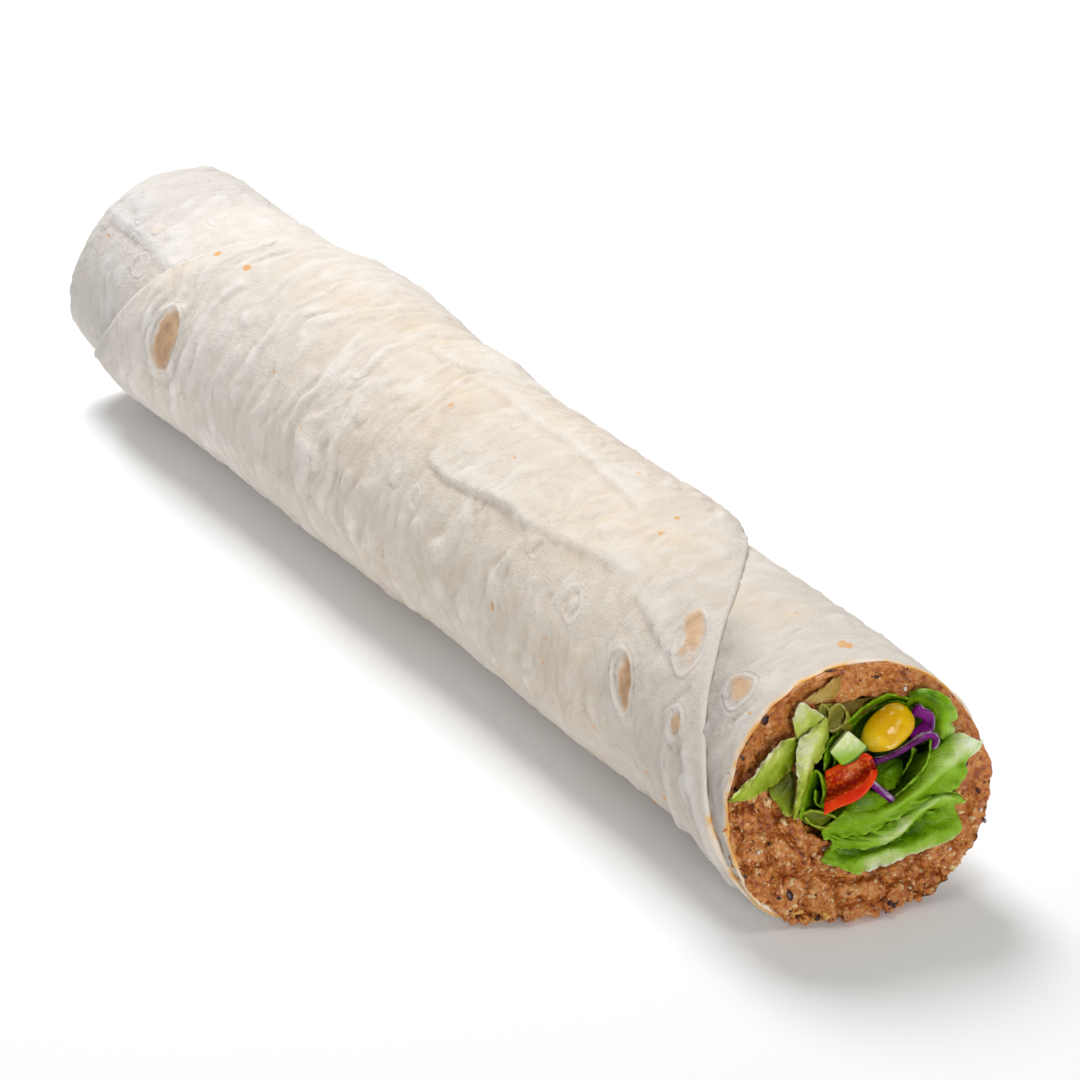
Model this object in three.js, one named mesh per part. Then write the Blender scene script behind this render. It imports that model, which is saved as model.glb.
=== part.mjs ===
// A cig kofte wrap lying on its side: one soft round flatbread rolled round a thick tube of
// bulgur paste, with a core of lettuce and cut vegetables showing at the slanting cut.
// Millimetres and degrees. +X runs along the roll to the cut end, +Z is up, and the origin is
// the centre of the underside's box, on the surface that the wrap lies on.
import * as THREE from "three";

// The roll
const FAR_END = -123; // where the uncut end of the roll is
const ROLL_RADIUS = 24.4; // outside radius at the free tip of the flatbread
const AXIS_HEIGHT = 23.2; // height of the roll's axis, a little less than its radius: it sags flat
const SHEET = 1.2; // thickness of the flatbread
const LAYER_GAP = 0.4; // air between one turn of it and the next
const PITCH = SHEET + LAYER_GAP;
const TIP_ANGLE = -98; // where the flatbread's outer tip lies: 0 is the top, 90 the front (-Y)
const SHEET_TURN = 640; // how far the flatbread winds in from its tip

// The cut, a plane that leans back at the top front
const CUT_X = 115.5; // where the paste's face crosses the axis
const CUT_LEAN = 0.27; // how far it falls back for each millimetre towards LEAN_ANGLE
const LEAN_ANGLE = 55;
const RIM_X = 114; // the same for the flatbread's rim, which stands back behind the paste
const RIM_LEAN = 0.2;
const LIP_RADIUS = 23.4; // the paste that has pressed out over the rim at the back

// The flap, the last part of the flatbread, whose round outline shows on the outside
const TIP_X = -14; // where its tip is along the roll
const NEAR_TURN = 204; // how far round from the tip its near edge comes to the cut
const NEAR_POWER = 1.58; // 2 would be an ellipse
const HELD_BACK = 4; // how far short of the cut it stays there
const CORNER_TURN = 54; // how far round its far corner is
const FAR_TOP_X = -71.5; // and where along the roll
const FAR_SLOPE = 0.225; // then how fast the edge runs to the far end, for each degree
const FAR_CURVE = 0.00033;

// The filling
const FILL_GAP = 0.3; // between any two pieces that touch
const FAR_RECESS = 3; // how far the paste stays inside the flatbread at the far end
const CORE_Y = 2.5; // centre of the salad core, off the roll's axis
const CORE_Z = 1.5;
const CORE_RADIUS = 14.4;
const CORE_SET_BACK = 4.6; // how far the core stays behind the paste's face

// The visible salad. Each point is y and z from the roll's axis where the cut is, and strips have
// a third number, how far the point stands out of the cut.
const LEAF = 0.8; // thickness of a lettuce leaf with its ruffles
const OUTWARD = new THREE.Vector3(1, -0.55, 0.56); // what stands out of the cut leans this way
const LEAF_RIGHT = [
  [-5, -8.6], [2, -6.5], [9, -2.6], [15, 2.8],
  [23, 5], [18.4, -2], [16.8, -5], [8, -9.6],
];
const LEAF_LOW = [
  [-7, -11.6], [-2.4, -14.4], [6, -13.4], [14.6, -11],
  [18, -6], [8, -10.6], [0, -11.6],
];
const LEAF_TOP = [[-7.2, 10, -2], [-3.8, 13, -2], [2.4, 14.6, -2.2], [7.4, 13.9, -2.2], [10.6, 11.4, -2]];
const LEAF_TOP_RIGHT = [[10, 15.6], [14, 16], [18, 12], [16.6, 7], [14.6, 9], [12.8, 13.4]];
const LEAF_LEFT_LONG = [
  [-22.8, 1.4], [-19.4, 5.4], [-15.4, 9.4],
  [-12, 10], [-14.6, 5.4], [-18.8, 1.6],
];
const LEAF_LEFT_FOLD = [
  [-6.4, 11.6], [-9, 10], [-11.4, 6.4], [-11.8, 0],
  [-11, -2.6], [-8.8, 0.6], [-7.8, 5.8],
];
const LEAF_LEFT_TIP = [[-13, 16], [-8.6, 15], [-7.4, 12.4], [-10.6, 11.2], [-12.8, 12.6]];
const CABBAGE_LONG = [[2, 4, 1], [6.6, 5, 1], [11.4, 6.4, 1.2], [13.8, 6.4, 1.4], [13.6, 4.6, 1.6]];
const CABBAGE_CURL = [[11, 12.2, 0.8], [12.4, 11, 0.8], [11.8, 9.5, 0.8], [10.2, 9, 0.8]];
const CABBAGE_SHORT = [[2.6, -0.4, 1.4], [4.4, -2.2, 1.2], [6, -4.2, 1]];

const AROUND = 36; // facets to one turn
const SHEET_ALONG = 20;
const PASTE_ALONG = 20;

const radians = THREE.MathUtils.degToRad;
const cosine = (degrees) => Math.cos(radians(degrees));
const hill = (distance, width) => Math.exp(-((distance / width) ** 2));
const ramp = (t) => THREE.MathUtils.smoothstep(t, 0, 1);

// Degrees from one angle to another, the short way round
const apart = (a, b) => ((((a - b + 180) % 360) + 360) % 360) - 180;

// A point at a radius and an angle round the roll
function around(x, radius, angle) {
  const y = -radius * Math.sin(radians(angle));
  return new THREE.Vector3(x, y, AXIS_HEIGHT + radius * cosine(angle));
}

// Moves every vertex of a geometry to where shape(point) says
function shaped(geometry, shape) {
  const at = geometry.getAttribute("position");
  const point = new THREE.Vector3();
  for (let i = 0; i < at.count; i++) {
    const moved = shape(point.fromBufferAttribute(at, i));
    at.setXYZ(i, moved.x, moved.y, moved.z);
  }
  return geometry;
}

// A closed ring: section(place, angle) gives the point of each place of a profile round the roll
function ring(places, section) {
  const torus = new THREE.TorusGeometry(2, 1, places.length, AROUND);
  const at = torus.getAttribute("position");
  for (let j = 0; j <= places.length; j++) {
    for (let i = 0; i <= AROUND; i++) {
      const p = section(places[j % places.length], (360 * (i % AROUND)) / AROUND);
      at.setXYZ(j * (AROUND + 1) + i, p.x, p.y, p.z);
    }
  }
  return torus;
}

function node(name, geometry, color, roughness) {
  const material = new THREE.MeshStandardMaterial({ color, roughness, metalness: 0 });
  const mesh = new THREE.Mesh(geometry, material);
  mesh.name = name;
  return mesh;
}

// How much fuller the soft roll is than a true cylinder
function swell(x, angle) {
  const slow = 0.35 * Math.sin((x + 19) / 12.5 + radians(angle));
  const shoulder = 1.2 * hill(x + 54, 20) * hill(apart(angle, -40), 45);
  const waist = -0.9 * hill(x + 8, 26) * hill(apart(angle, -45), 45);
  const hip = 0.9 * hill(x + 72, 45) * hill(apart(angle, 122), 40);
  const mouth = ramp((x - 75) / 38) * (1.35 + 1.15 * cosine(angle - 122));
  const lips = 1.3 * hill(apart(angle, -35), 45) + 1.7 * hill(apart(angle, 140), 40);
  const lip = ramp((x - 93) / 26) * lips;
  const sides = 1 - hill(apart(angle, 180), 30);
  const belly = 0.6 * hill(apart(angle, 180), 26);
  return (slow + shoulder + waist + hip + mouth + lip) * sides + belly;
}

// A radius kept above the surface that the roll lies on, at a depth inside its skin
function onSurface(radius, angle, depth) {
  const down = -cosine(angle);
  return down > 0.5 ? Math.min(radius, (AXIS_HEIGHT - depth) / down) : radius;
}

const cutAt = (centre, lean, radius, angle) =>
  centre - lean * radius * cosine(angle - LEAN_ANGLE);

// The near edge of the flatbread at a turn in from its tip: the flap's outline, then the cut
function nearEdge(turn, radius) {
  const short = HELD_BACK * (1 - ramp((turn - NEAR_TURN) / 60));
  const rim = cutAt(RIM_X, RIM_LEAN, radius, TIP_ANGLE + turn) - short;
  if (turn >= NEAR_TURN) return rim;
  const left = 1 - turn / NEAR_TURN;
  const share = (1 - left ** NEAR_POWER) ** (1 / NEAR_POWER);
  return TIP_X + share * (rim - TIP_X);
}

// The far edge: a rounded corner at the tip, a slanting edge, then the end of the roll
function farEdge(turn) {
  const past = turn - CORNER_TURN;
  if (past < 0) {
    const corner = Math.sqrt(1 - (past / CORNER_TURN) ** 2);
    return TIP_X + (FAR_TOP_X - TIP_X) * corner;
  }
  const end = FAR_END - 0.9 * Math.sin(radians(1.5 * turn));
  return Math.max(end, FAR_TOP_X - FAR_SLOPE * past - FAR_CURVE * past * past);
}

// The flat sheet, a box, cut to its outline and rolled up
function flatbread() {
  const turns = Math.round((SHEET_TURN / 360) * AROUND);
  const sheet = new THREE.BoxGeometry(1, 1, 1, turns, SHEET_ALONG, 1);
  return shaped(sheet, (p) => {
    const turn = (p.x + 0.5) * SHEET_TURN;
    const inward = 0.5 - p.z; // 0 on the outside of the sheet, 1 on its inside
    const angle = TIP_ANGLE + turn;
    const plain = ROLL_RADIUS - (PITCH * turn) / 360;
    const from = farEdge(turn);
    const x = from + (p.y + 0.5) * (nearEdge(turn, plain) - from);
    const lifted = turn < 150 ? 1.4 * hill(x - 46, 14) * hill(turn - 52, 36) : 0;
    const depth = SHEET * inward + (turn > 360 ? PITCH : 0);
    const radius = plain + swell(x, angle) + lifted - SHEET * inward;
    return around(x, onSurface(radius, angle, depth), angle);
  });
}

// The inside of the innermost turn, which steps out where the flatbread begins
function fillRadius(angle) {
  const turn = (((angle - TIP_ANGLE) % 360) + 360) % 360;
  const begins = SHEET_TURN - 360;
  const wound = turn <= begins + 2 ? turn + 360 : turn + 360 * (1 - ramp((turn - begins) / 24));
  return ROLL_RADIUS - (PITCH * wound) / 360 - SHEET - FILL_GAP;
}

// The bore, wider towards the upper back than where the paste is heaped at the lower front
const coreRadius = (angle) => CORE_RADIUS + cosine(angle + 45) + 0.5 * cosine(3 * angle);

// A point of the salad core's outline, at an angle round the core's own centre
function aroundCore(x, radius, angle) {
  const p = around(x, radius, angle);
  p.y += CORE_Y;
  p.z += CORE_Z;
  return p;
}

// Where the paste's face is along the roll, at y and z from the axis
function faceX(y, z) {
  const towards = -y * Math.sin(radians(LEAN_ANGLE)) + z * cosine(LEAN_ANGLE);
  return CUT_X - CUT_LEAN * towards;
}

// A point on the cut, and how far it stands out of the paste's face
const onCut = (y, z, lift) =>
  new THREE.Vector3(faceX(y, z), y, AXIS_HEIGHT + z).addScaledVector(OUTWARD, lift);

// The paste: a closed profile, out along its skin and back along its bore, carried round the axis
function koftePaste() {
  const steps = (count, on) =>
    Array.from({ length: count + 1 }, (_, i) => ({ on, along: i / count }));
  const places = [...steps(PASTE_ALONG, "skin"), ...steps(1, "lip"), ...steps(4, "bore").reverse()];
  return ring(places, ({ on, along }, angle) => {
    const start = FAR_END + FAR_RECESS + 0.5 * Math.sin(radians(3 * angle));
    if (on === "bore") {
      const q = aroundCore(0, coreRadius(angle), angle);
      const end = faceX(q.y, q.z - AXIS_HEIGHT) - 0.7;
      q.x = start + along * (end - start);
      return q;
    }
    const inner = fillRadius(angle);
    const rim = Math.max(
      cutAt(RIM_X, RIM_LEAN, ROLL_RADIUS, angle),
      cutAt(RIM_X, RIM_LEAN, inner, angle),
    );
    if (on === "skin") {
      const x = start + along * (rim - start);
      return around(x, onSurface(inner + swell(x, angle), angle, 3), angle);
    }
    const back = ramp(0.75 - cosine(angle - LEAN_ANGLE)); // 0 at the front, 1 at the back
    const plain = inner + swell(rim, angle);
    const outer = onSurface(plain + back * (LIP_RADIUS - inner), angle, 0.4);
    const from = rim + FILL_GAP;
    const reach = Math.max(cutAt(CUT_X, CUT_LEAN, outer, angle) - from, 0.3);
    return around(from + reach * along, outer, angle);
  });
}

// The lettuce that fills the paste's bore from end to end
function lettuceBundle() {
  const rod = new THREE.CylinderGeometry(1, 1, 1, 24, 6);
  return shaped(rod, (p) => {
    const share = Math.hypot(p.x, p.z);
    const angle = THREE.MathUtils.radToDeg(Math.atan2(p.x, p.z));
    const q = aroundCore(0, share * (coreRadius(angle) - 2 * FILL_GAP), angle);
    const near = faceX(q.y, q.z - AXIS_HEIGHT) - CORE_SET_BACK;
    const far = FAR_END + FAR_RECESS + 1;
    const rough = 0.6 * share * Math.sin(radians(4 * angle));
    q.x = far + (p.y + 0.5) * (near - far) + rough;
    return q;
  });
}

// A leaf that lies over the cut: a smooth outline through a few points
function leaf(points, lift) {
  const rim = new THREE.CatmullRomCurve3(points.map(([y, z]) => new THREE.Vector3(y, z, 0)), true);
  const outline = rim.getSpacedPoints(points.length * 4).slice(1);
  const slab = new THREE.ExtrudeGeometry(new THREE.Shape(outline), {
    depth: LEAF,
    bevelEnabled: false,
  });
  return shaped(slab, (p) => onCut(p.x, p.y, lift + p.z));
}

// A strip on edge along a curve over the cut, each point with its own lift
function strip(points, width, thickness) {
  const path = new THREE.CatmullRomCurve3(points.map(([y, z, lift]) => onCut(y, z, lift)));
  const section = new THREE.Shape([
    new THREE.Vector2(-thickness / 2, -width / 2),
    new THREE.Vector2(thickness / 2, -width / 2),
    new THREE.Vector2(thickness / 2, width / 2),
    new THREE.Vector2(-thickness / 2, width / 2),
  ]);
  return new THREE.ExtrudeGeometry(section, { steps: 12, extrudePath: path });
}

// A sweetcorn kernel: an egg, broad across and flatter the other way
function cornKernel() {
  const size = new THREE.Vector3(3, 5, 3.6);
  const egg = new THREE.SphereGeometry(1, 18, 12);
  const tilt = new THREE.Matrix4().makeRotationX(radians(36));
  return shaped(egg, (p) => {
    const narrow = 1 - 0.12 * p.y;
    const q = new THREE.Vector3(p.x * size.x, p.y * size.y, p.z * size.z * narrow);
    return onCut(5.6, 9.8, 1.6).add(q.applyMatrix4(tilt));
  });
}

// A small piece of cucumber, with its skin round on one side
function cucumberPiece() {
  const length = 3.6;
  const outline = new THREE.Shape();
  outline.moveTo(-2.9, 0.2);
  outline.quadraticCurveTo(-0.6, -2.8, 3, -1.4);
  outline.lineTo(1.2, 2.4);
  outline.lineTo(-1.2, 2.6);
  const block = new THREE.ExtrudeGeometry(outline, { depth: length, bevelEnabled: false });
  return shaped(block, (p) => onCut(-1.8 + p.x, 7.9 + p.y, 2.2).add(new THREE.Vector3(p.z - length)));
}

const PEPPER_TILT = new THREE.Matrix4().makeRotationFromEuler(
  new THREE.Euler(radians(28), radians(20), 0),
);

// A piece of red pepper wall, bent like a trough, with its hollow side up
function pepperPiece() {
  const wall = 1.5;
  const bend = 5; // radius of the trough
  const slab = new THREE.BoxGeometry(8.4, 9.5, wall, 2, 10, 1);
  return shaped(slab, (p) => {
    const angle = p.y / bend + 0.15;
    const radius = bend - p.z;
    const down = radius * Math.cos(angle) - 0.6 * bend;
    const q = new THREE.Vector3(0.75 * p.x, radius * Math.sin(angle), -down);
    return onCut(-2.4, 2.1, 1.6).add(q.applyMatrix4(PEPPER_TILT));
  });
}

const GREEN = 0x7cae2c;
const PALE_GREEN = 0xa9bf6c;
const PURPLE = 0x5d1f6b;

const wrap = new THREE.Group();
wrap.add(node("flatbread", flatbread(), 0xe9e1d3, 0.8));
wrap.add(node("kofte_paste", koftePaste(), 0xa4512c, 0.5));
wrap.add(node("lettuce_bundle", lettuceBundle(), 0x4f7d1c, 0.5));
wrap.add(node("corn_kernel", cornKernel(), 0xe8b315, 0.25));
wrap.add(node("cucumber_piece", cucumberPiece(), 0xcfe0ad, 0.35));
wrap.add(node("red_pepper_piece", pepperPiece(), 0xc12a13, 0.3));
wrap.add(node("cabbage_shred_long", strip(CABBAGE_LONG, 1.8, 1), PURPLE, 0.35));
wrap.add(node("cabbage_shred_curl", strip(CABBAGE_CURL, 2, 0.9), PURPLE, 0.35));
wrap.add(node("cabbage_shred_short", strip(CABBAGE_SHORT, 1.4, 1), PURPLE, 0.35));
wrap.add(node("leaf_right", leaf(LEAF_RIGHT, 2.2), GREEN, 0.45));
wrap.add(node("leaf_low", leaf(LEAF_LOW, 0.5), GREEN, 0.45));
wrap.add(node("leaf_top", strip(LEAF_TOP, 4, LEAF), 0x2f6a14, 0.45));
wrap.add(node("leaf_top_right", leaf(LEAF_TOP_RIGHT, 0.5), 0x4b8a1d, 0.45));
wrap.add(node("leaf_left_long", leaf(LEAF_LEFT_LONG, 1.2), PALE_GREEN, 0.45));
wrap.add(node("leaf_left_fold", leaf(LEAF_LEFT_FOLD, 2.8), PALE_GREEN, 0.45));
wrap.add(node("leaf_left_tip", leaf(LEAF_LEFT_TIP, 1.2), PALE_GREEN, 0.45));

export default wrap;
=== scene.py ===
import bpy
import numpy as np
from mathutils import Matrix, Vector
from mathutils.bvhtree import BVHTree


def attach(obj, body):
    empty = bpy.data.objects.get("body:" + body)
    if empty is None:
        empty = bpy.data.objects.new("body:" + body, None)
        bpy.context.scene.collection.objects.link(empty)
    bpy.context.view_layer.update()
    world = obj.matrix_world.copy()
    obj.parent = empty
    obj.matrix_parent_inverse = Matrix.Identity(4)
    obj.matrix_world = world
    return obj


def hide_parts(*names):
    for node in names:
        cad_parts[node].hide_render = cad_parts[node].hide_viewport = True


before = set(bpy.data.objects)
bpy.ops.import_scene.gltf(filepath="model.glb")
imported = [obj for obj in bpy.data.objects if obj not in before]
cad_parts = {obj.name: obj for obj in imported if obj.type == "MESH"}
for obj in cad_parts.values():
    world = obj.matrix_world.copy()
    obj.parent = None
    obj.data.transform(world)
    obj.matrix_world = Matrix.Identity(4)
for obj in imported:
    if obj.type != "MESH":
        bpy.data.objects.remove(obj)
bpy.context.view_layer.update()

# The wrap lies along X with its slanting cut at +X. Shapes are worked out in millimetres and made
# metres as each mesh is built, and angles round the roll are in degrees: 0 is the top, 90 the
# front (-Y) and 180 the underside.

# --- Camera, lights and floor ------------------------------------------------------------------
# A long lens looks down at the cut end from the front, under a broad soft light from above.

AIM = Vector((0.014, 0, 0.023))
TO_CAMERA = Vector((0.7431, -0.4698, 0.4764))
CAMERA_DISTANCE = 1.1056

scene = bpy.context.scene
scene.view_settings.view_transform = "Standard"
camera = bpy.data.objects.new("camera", bpy.data.cameras.new("camera"))
camera.location = AIM + CAMERA_DISTANCE * TO_CAMERA
camera.rotation_euler = TO_CAMERA.to_track_quat("Z", "Y").to_euler()
camera.data.sensor_width = 36
camera.data.lens = 202.3
camera.data.shift_x = -0.0014
camera.data.shift_y = 0.0077
scene.collection.objects.link(camera)
scene.camera = camera

# Round softboxes that face the middle of the wrap: place, width in metres and power in watts
SOFTBOXES = {
    "overhead softbox": ((-0.52, 0.08, 0.78), 0.45, 7.2),
    "front softbox": ((1.15, -0.2, 0.3), 0.38, 4.4),
    "side softbox": ((0.15, -1.0, 0.35), 0.5, 0.1),
    "high softbox": ((0.16, -0.06, 0.87), 0.22, 1.0),
}
for name, (place, width, power) in SOFTBOXES.items():
    light = bpy.data.lights.new(name, "AREA")
    light.shape = "DISK"
    light.size = width
    light.energy = power
    softbox = bpy.data.objects.new(name, light)
    softbox.location = place
    softbox.rotation_euler = (Vector(place) - AIM).to_track_quat("Z", "Y").to_euler()
    scene.collection.objects.link(softbox)

world = bpy.data.worlds.new("pale studio")
world.use_nodes = True
world.node_tree.nodes["Background"].inputs["Color"].default_value = (0.96, 0.98, 1, 1)
world.node_tree.nodes["Background"].inputs["Strength"].default_value = 0.29
scene.world = world


def new_material(name, **values):
    """A material with its Principled shader's own sockets set, its tree and that shader."""
    material = bpy.data.materials.new(name)
    material.use_nodes = True
    shader = material.node_tree.nodes["Principled BSDF"]
    for label, value in values.items():
        shader.inputs[label.replace("_", " ")].default_value = value
    return material, material.node_tree, shader


MM = 0.001


def new_object(name, points, faces, material=None, smooth=True):
    """An object at the origin whose mesh has its points in millimetres."""
    mesh = bpy.data.meshes.new(name)
    mesh.from_pydata((np.asarray(points) * MM).tolist(), [], [list(map(int, f)) for f in faces])
    mesh.polygons.foreach_set("use_smooth", [smooth] * len(mesh.polygons))
    mesh.update()
    if material:
        mesh.materials.append(material)
    made = bpy.data.objects.new(name, mesh)
    scene.collection.objects.link(made)
    return made


FLOOR_HALF = 3000
floor_corners = [(-FLOOR_HALF, -FLOOR_HALF, 0), (FLOOR_HALF, -FLOOR_HALF, 0),
                 (FLOOR_HALF, FLOOR_HALF, 0), (-FLOOR_HALF, FLOOR_HALF, 0)]
floor_material = new_material(
    "pale floor", Base_Color=(0.89, 0.89, 0.89, 1), Roughness=0.9, Specular_IOR_Level=0.1,
    Emission_Color=(1, 1, 1, 1), Emission_Strength=0.07,
)[0]
new_object("floor", floor_corners, [(0, 1, 2, 3)], floor_material, smooth=False)

# --- Flatbread ---------------------------------------------------------------------------------
# One round sheet of thin soft dough, baked dry on a hot plate, which leaves blisters with toasted
# tops. It winds in from its free tip for a little under two turns, and its round outline shows as
# the slanting edges of the outer turn. Nothing holds it but its own weight and the moist filling.

FAR_END = -123  # where the uncut end of the roll is
ROLL_RADIUS = 24.4  # outside radius at the sheet's free tip
AXIS_HEIGHT = 23.2  # a little less than the radius: the roll sags flat
SHEET, PITCH = 1.1, 1.6  # thickness, and the step from one turn of the sheet to the next
TIP_ANGLE, SHEET_TURN = -98, 636  # where the tip lies, and how far the sheet winds in from it
RIM_X, RIM_LEAN, LEAN_ANGLE = 114.9, 0.238, 55  # the cut rim, falling back towards that angle
RIM_THINNED, RIM_TAPER = 0.65, 2.5  # how much thinner the pressed rim is, and over what length
TIP_X, NEAR_TURN, NEAR_POWER, HELD_BACK = -14, 204, 1.58, 4  # the tip, and its edge to the cut
FREE_TURN = 250  # past this the near edge is the cut rim
CORNER_TURN, FAR_TOP_X, FAR_SLOPE, FAR_CURVE = 54, -71.5, 0.225, 0.00033  # its edge to the far end
FAR_HELD_BACK, FAR_HELD_TURN, FAR_FREE_TURN = 9.5, 220, 300  # how that edge meets the far end
FLAP_THINNED, FLAP_TAPER = 0.25, 8  # the flap's thin margin, and how far in it beds down
EDGE_ROUNDING = 0.5


def cosine(degrees):
    return np.cos(np.radians(degrees))


def sine(degrees):
    return np.sin(np.radians(degrees))


def hill(distance, width):
    """A bell, 1 at no distance."""
    return np.exp(-((distance / width) ** 2))


def ramp(t):
    """A smooth rise from 0 at 0 to 1 at 1."""
    t = np.clip(t, 0, 1)
    return t * t * (3 - 2 * t)


def apart(a, b):
    """Degrees from one angle to another, the short way round."""
    return (a - b + 180) % 360 - 180


def around(x, radius, angle):
    """Points at a radius and an angle round the roll, kept above the floor."""
    height = AXIS_HEIGHT + radius * cosine(angle)
    return np.stack([x + 0 * angle, -radius * sine(angle), np.maximum(height, 0)], -1)


def over_floor(gap, angle):
    """The radius that stays this far above the floor, and no limit away from the underside."""
    return np.where(cosine(angle) < -0.5, (AXIS_HEIGHT - gap) / np.maximum(-cosine(angle), 0.5), 99)


# Where the roll is fuller or slacker than a true cylinder: by how much, the place along it and the
# half length, the angle and the half width
SWELLINGS = [(1.2, -54, 20, -40, 45), (-0.9, -8, 26, -45, 45), (0.9, -72, 45, 122, 40)]


def swell(x, angle):
    """How much fuller the soft roll is than a true cylinder, most of all at its open mouth."""
    fuller = 0.35 * np.sin((x + 19) / 12.5 + np.radians(angle))
    for height, place, length, middle, width in SWELLINGS:
        fuller = fuller + height * hill(x - place, length) * hill(apart(angle, middle), width)
    mouth = ramp((x - 75) / 38) * (1.35 + 1.15 * cosine(angle - 122))
    lip = ramp((x - 88) / 26) * (0.1 * hill(apart(angle, -35), 45) + 1.2 * hill(apart(angle, 140), 40))
    heel = 1.7 * ramp((x - 106) / 8) * hill(apart(angle, 146), 24)
    off_floor = 1 - hill(apart(angle, 180), 30)
    belly = 0.6 * hill(apart(angle, 180), 26)
    return (fuller + mouth + lip + heel) * off_floor + belly


def cut_at(centre, lean, radius, angle):
    """Where a leaning cut crosses a cylinder round the axis."""
    return centre - lean * radius * cosine(angle - LEAN_ANGLE)


def wander(t, size, *periods):
    """A smooth uneven line: a few sines whose periods share no common length."""
    return size * sum(np.sin(t / p + 1.7 * k) for k, p in enumerate(periods)) / len(periods)


def near_edge(turn, radius):
    """The edge towards the cut: the sheet's round outline at first, and then the cut rim."""
    short = HELD_BACK * (1 - ramp((turn - NEAR_TURN) / 60))
    rim = cut_at(RIM_X, RIM_LEAN, radius, TIP_ANGLE + turn) - short
    left = np.clip(1 - turn / NEAR_TURN, 0, 1)
    share = (1 - left**NEAR_POWER) ** (1 / NEAR_POWER)
    ragged = wander(turn, 0.5, 17.3, 9.1, 5.9) * share * ramp((NEAR_TURN + 60 - turn) / 80)
    frayed = wander(turn, 0.35, 3.1, 2.3) * ramp((turn - NEAR_TURN) / 20)
    return TIP_X + share * (rim - TIP_X) + ragged + frayed


def far_edge(turn):
    """The edge away from the cut: the round outline past its corner, and then the far end."""
    past, angle = np.maximum(turn - CORNER_TURN, 0), TIP_ANGLE + turn
    corner = np.sqrt(1 - np.clip(1 - turn / CORNER_TURN, 0, 1) ** 2)
    outline = TIP_X + (FAR_TOP_X - TIP_X) * corner - FAR_SLOPE * past - FAR_CURVE * past**2
    end = FAR_END - 0.9 * sine(1.5 * turn)
    end = end - 3.2 * hill(apart(angle, 112), 38) - 0.8 * hill(apart(angle, -20), 40)
    held = FAR_END + FAR_HELD_BACK * (1 - ramp((turn - FAR_HELD_TURN) / 50))
    edge = np.maximum(outline, end)
    edge = np.where(turn < FAR_FREE_TURN, np.maximum(edge, held), edge)
    return edge + wander(turn, 0.5, 13.3, 7.1, 5.3) * corner


# Blisters: place along the roll, angle, turn of the sheet (0 outer, 1 inner), the ring's half
# length and half width, how far it leans, and how boldly it stands up
RINGS = [
    (-85.4, 74.5, 0, 5.2, 7.2, -0.1, 0.6), (75.3, 69.7, 0, 3.4, 5.6, 0.42, 0.62),
    (85.9, 39.5, 0, 3.7, 5.9, 0.45, 0.5), (92.8, 69.8, 0, 2.2, 3.0, 0.1, 0.45),
    (101.5, 43, 1, 3.3, 3.7, 0.02, 0.5), (-110, 47, 1, 2.4, 2.2, 0, 0.2),
    (-104, 53, 1, 2.6, 2.9, 0, 0.3), (-112, 76, 1, 1.6, 4.2, 0.2, 0.2),
    (-97, 11, 1, 2.0, 1.6, 0, 0.3), (-88, -8, 1, 2.2, 1.8, 0, 0.25),
    (55.3, 56, 0, 2.9, 3.4, 0.3, 0.22), (43.7, 61, 0, 1.2, 1.8, 0.2, 0.15),
    (39, 46, 0, 2.0, 2.2, 0, 0.2), (34.3, 79.5, 0, 1.0, 2.4, 0.3, 0.2),
    (4, 61, 0, 1.8, 2.4, 0.2, 0.2), (8, 72, 0, 1.4, 2.0, 0.2, 0.2),
    (16, 78, 0, 1.5, 2.4, 0.2, 0.12), (-4, 92, 0, 2.2, 3.2, 0.2, 0.12),
    (23, 88, 0, 2.0, 2.8, 0.2, 0.12), (-39, -160, 0, 4.4, 6.0, 0.2, 0.5),
    (39, -128, 1, 3.8, 5.0, 0.3, 0.45), (-95, -120, 1, 3.4, 4.4, 0, 0.45),
    (97, -75, 1, 3.0, 3.2, 0.1, 0.45), (63, -104, 1, 2.4, 3.4, 0.3, 0.45),
    (-11, 140, 0, 2.9, 4.0, 0.2, 0.45), (9, -140, 1, 2.8, 3.6, -0.2, 0.4),
]

# Toasted tops of the highest blisters: the same numbers but the last, which is how dark it is
TOASTED = [
    (-84.9, 75.5, 0, 2.6, 4.9, -0.08, 1), (76.2, 70, 0, 1.4, 4.2, 0.3, 0.9),
    (83.6, 33, 0, 2.1, 2.2, 0.45, 0.74), (86.2, 40.6, 0, 1.6, 2.6, 0.3, 0.74),
    (89.3, 46.4, 0, 0.9, 1.2, 0.2, 0.5), (92.8, 69.8, 0, 1.3, 1.7, 0.1, 0.66),
    (101.0, 40.9, 1, 1.9, 1.9, 0, 0.76), (34.3, 80, 0, 0.6, 1.0, 0.3, 0.8),
    (-97, 11, 1, 0.5, 0.5, 0, 0.4), (-39, -160, 0, 2.2, 3.4, 0.2, 0.9),
    (39, -128, 1, 1.8, 2.6, 0.3, 0.8), (-95, -120, 1, 1.5, 2.0, 0, 0.7),
    (97, -75, 1, 1.3, 1.2, 0.1, 0.6), (63, -104, 1, 0.9, 1.5, 0.3, 0.8),
    (-11, 140, 0, 1.2, 2.0, 0.2, 0.8), (9, -140, 1, 1.0, 1.4, -0.2, 0.5),
]

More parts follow.
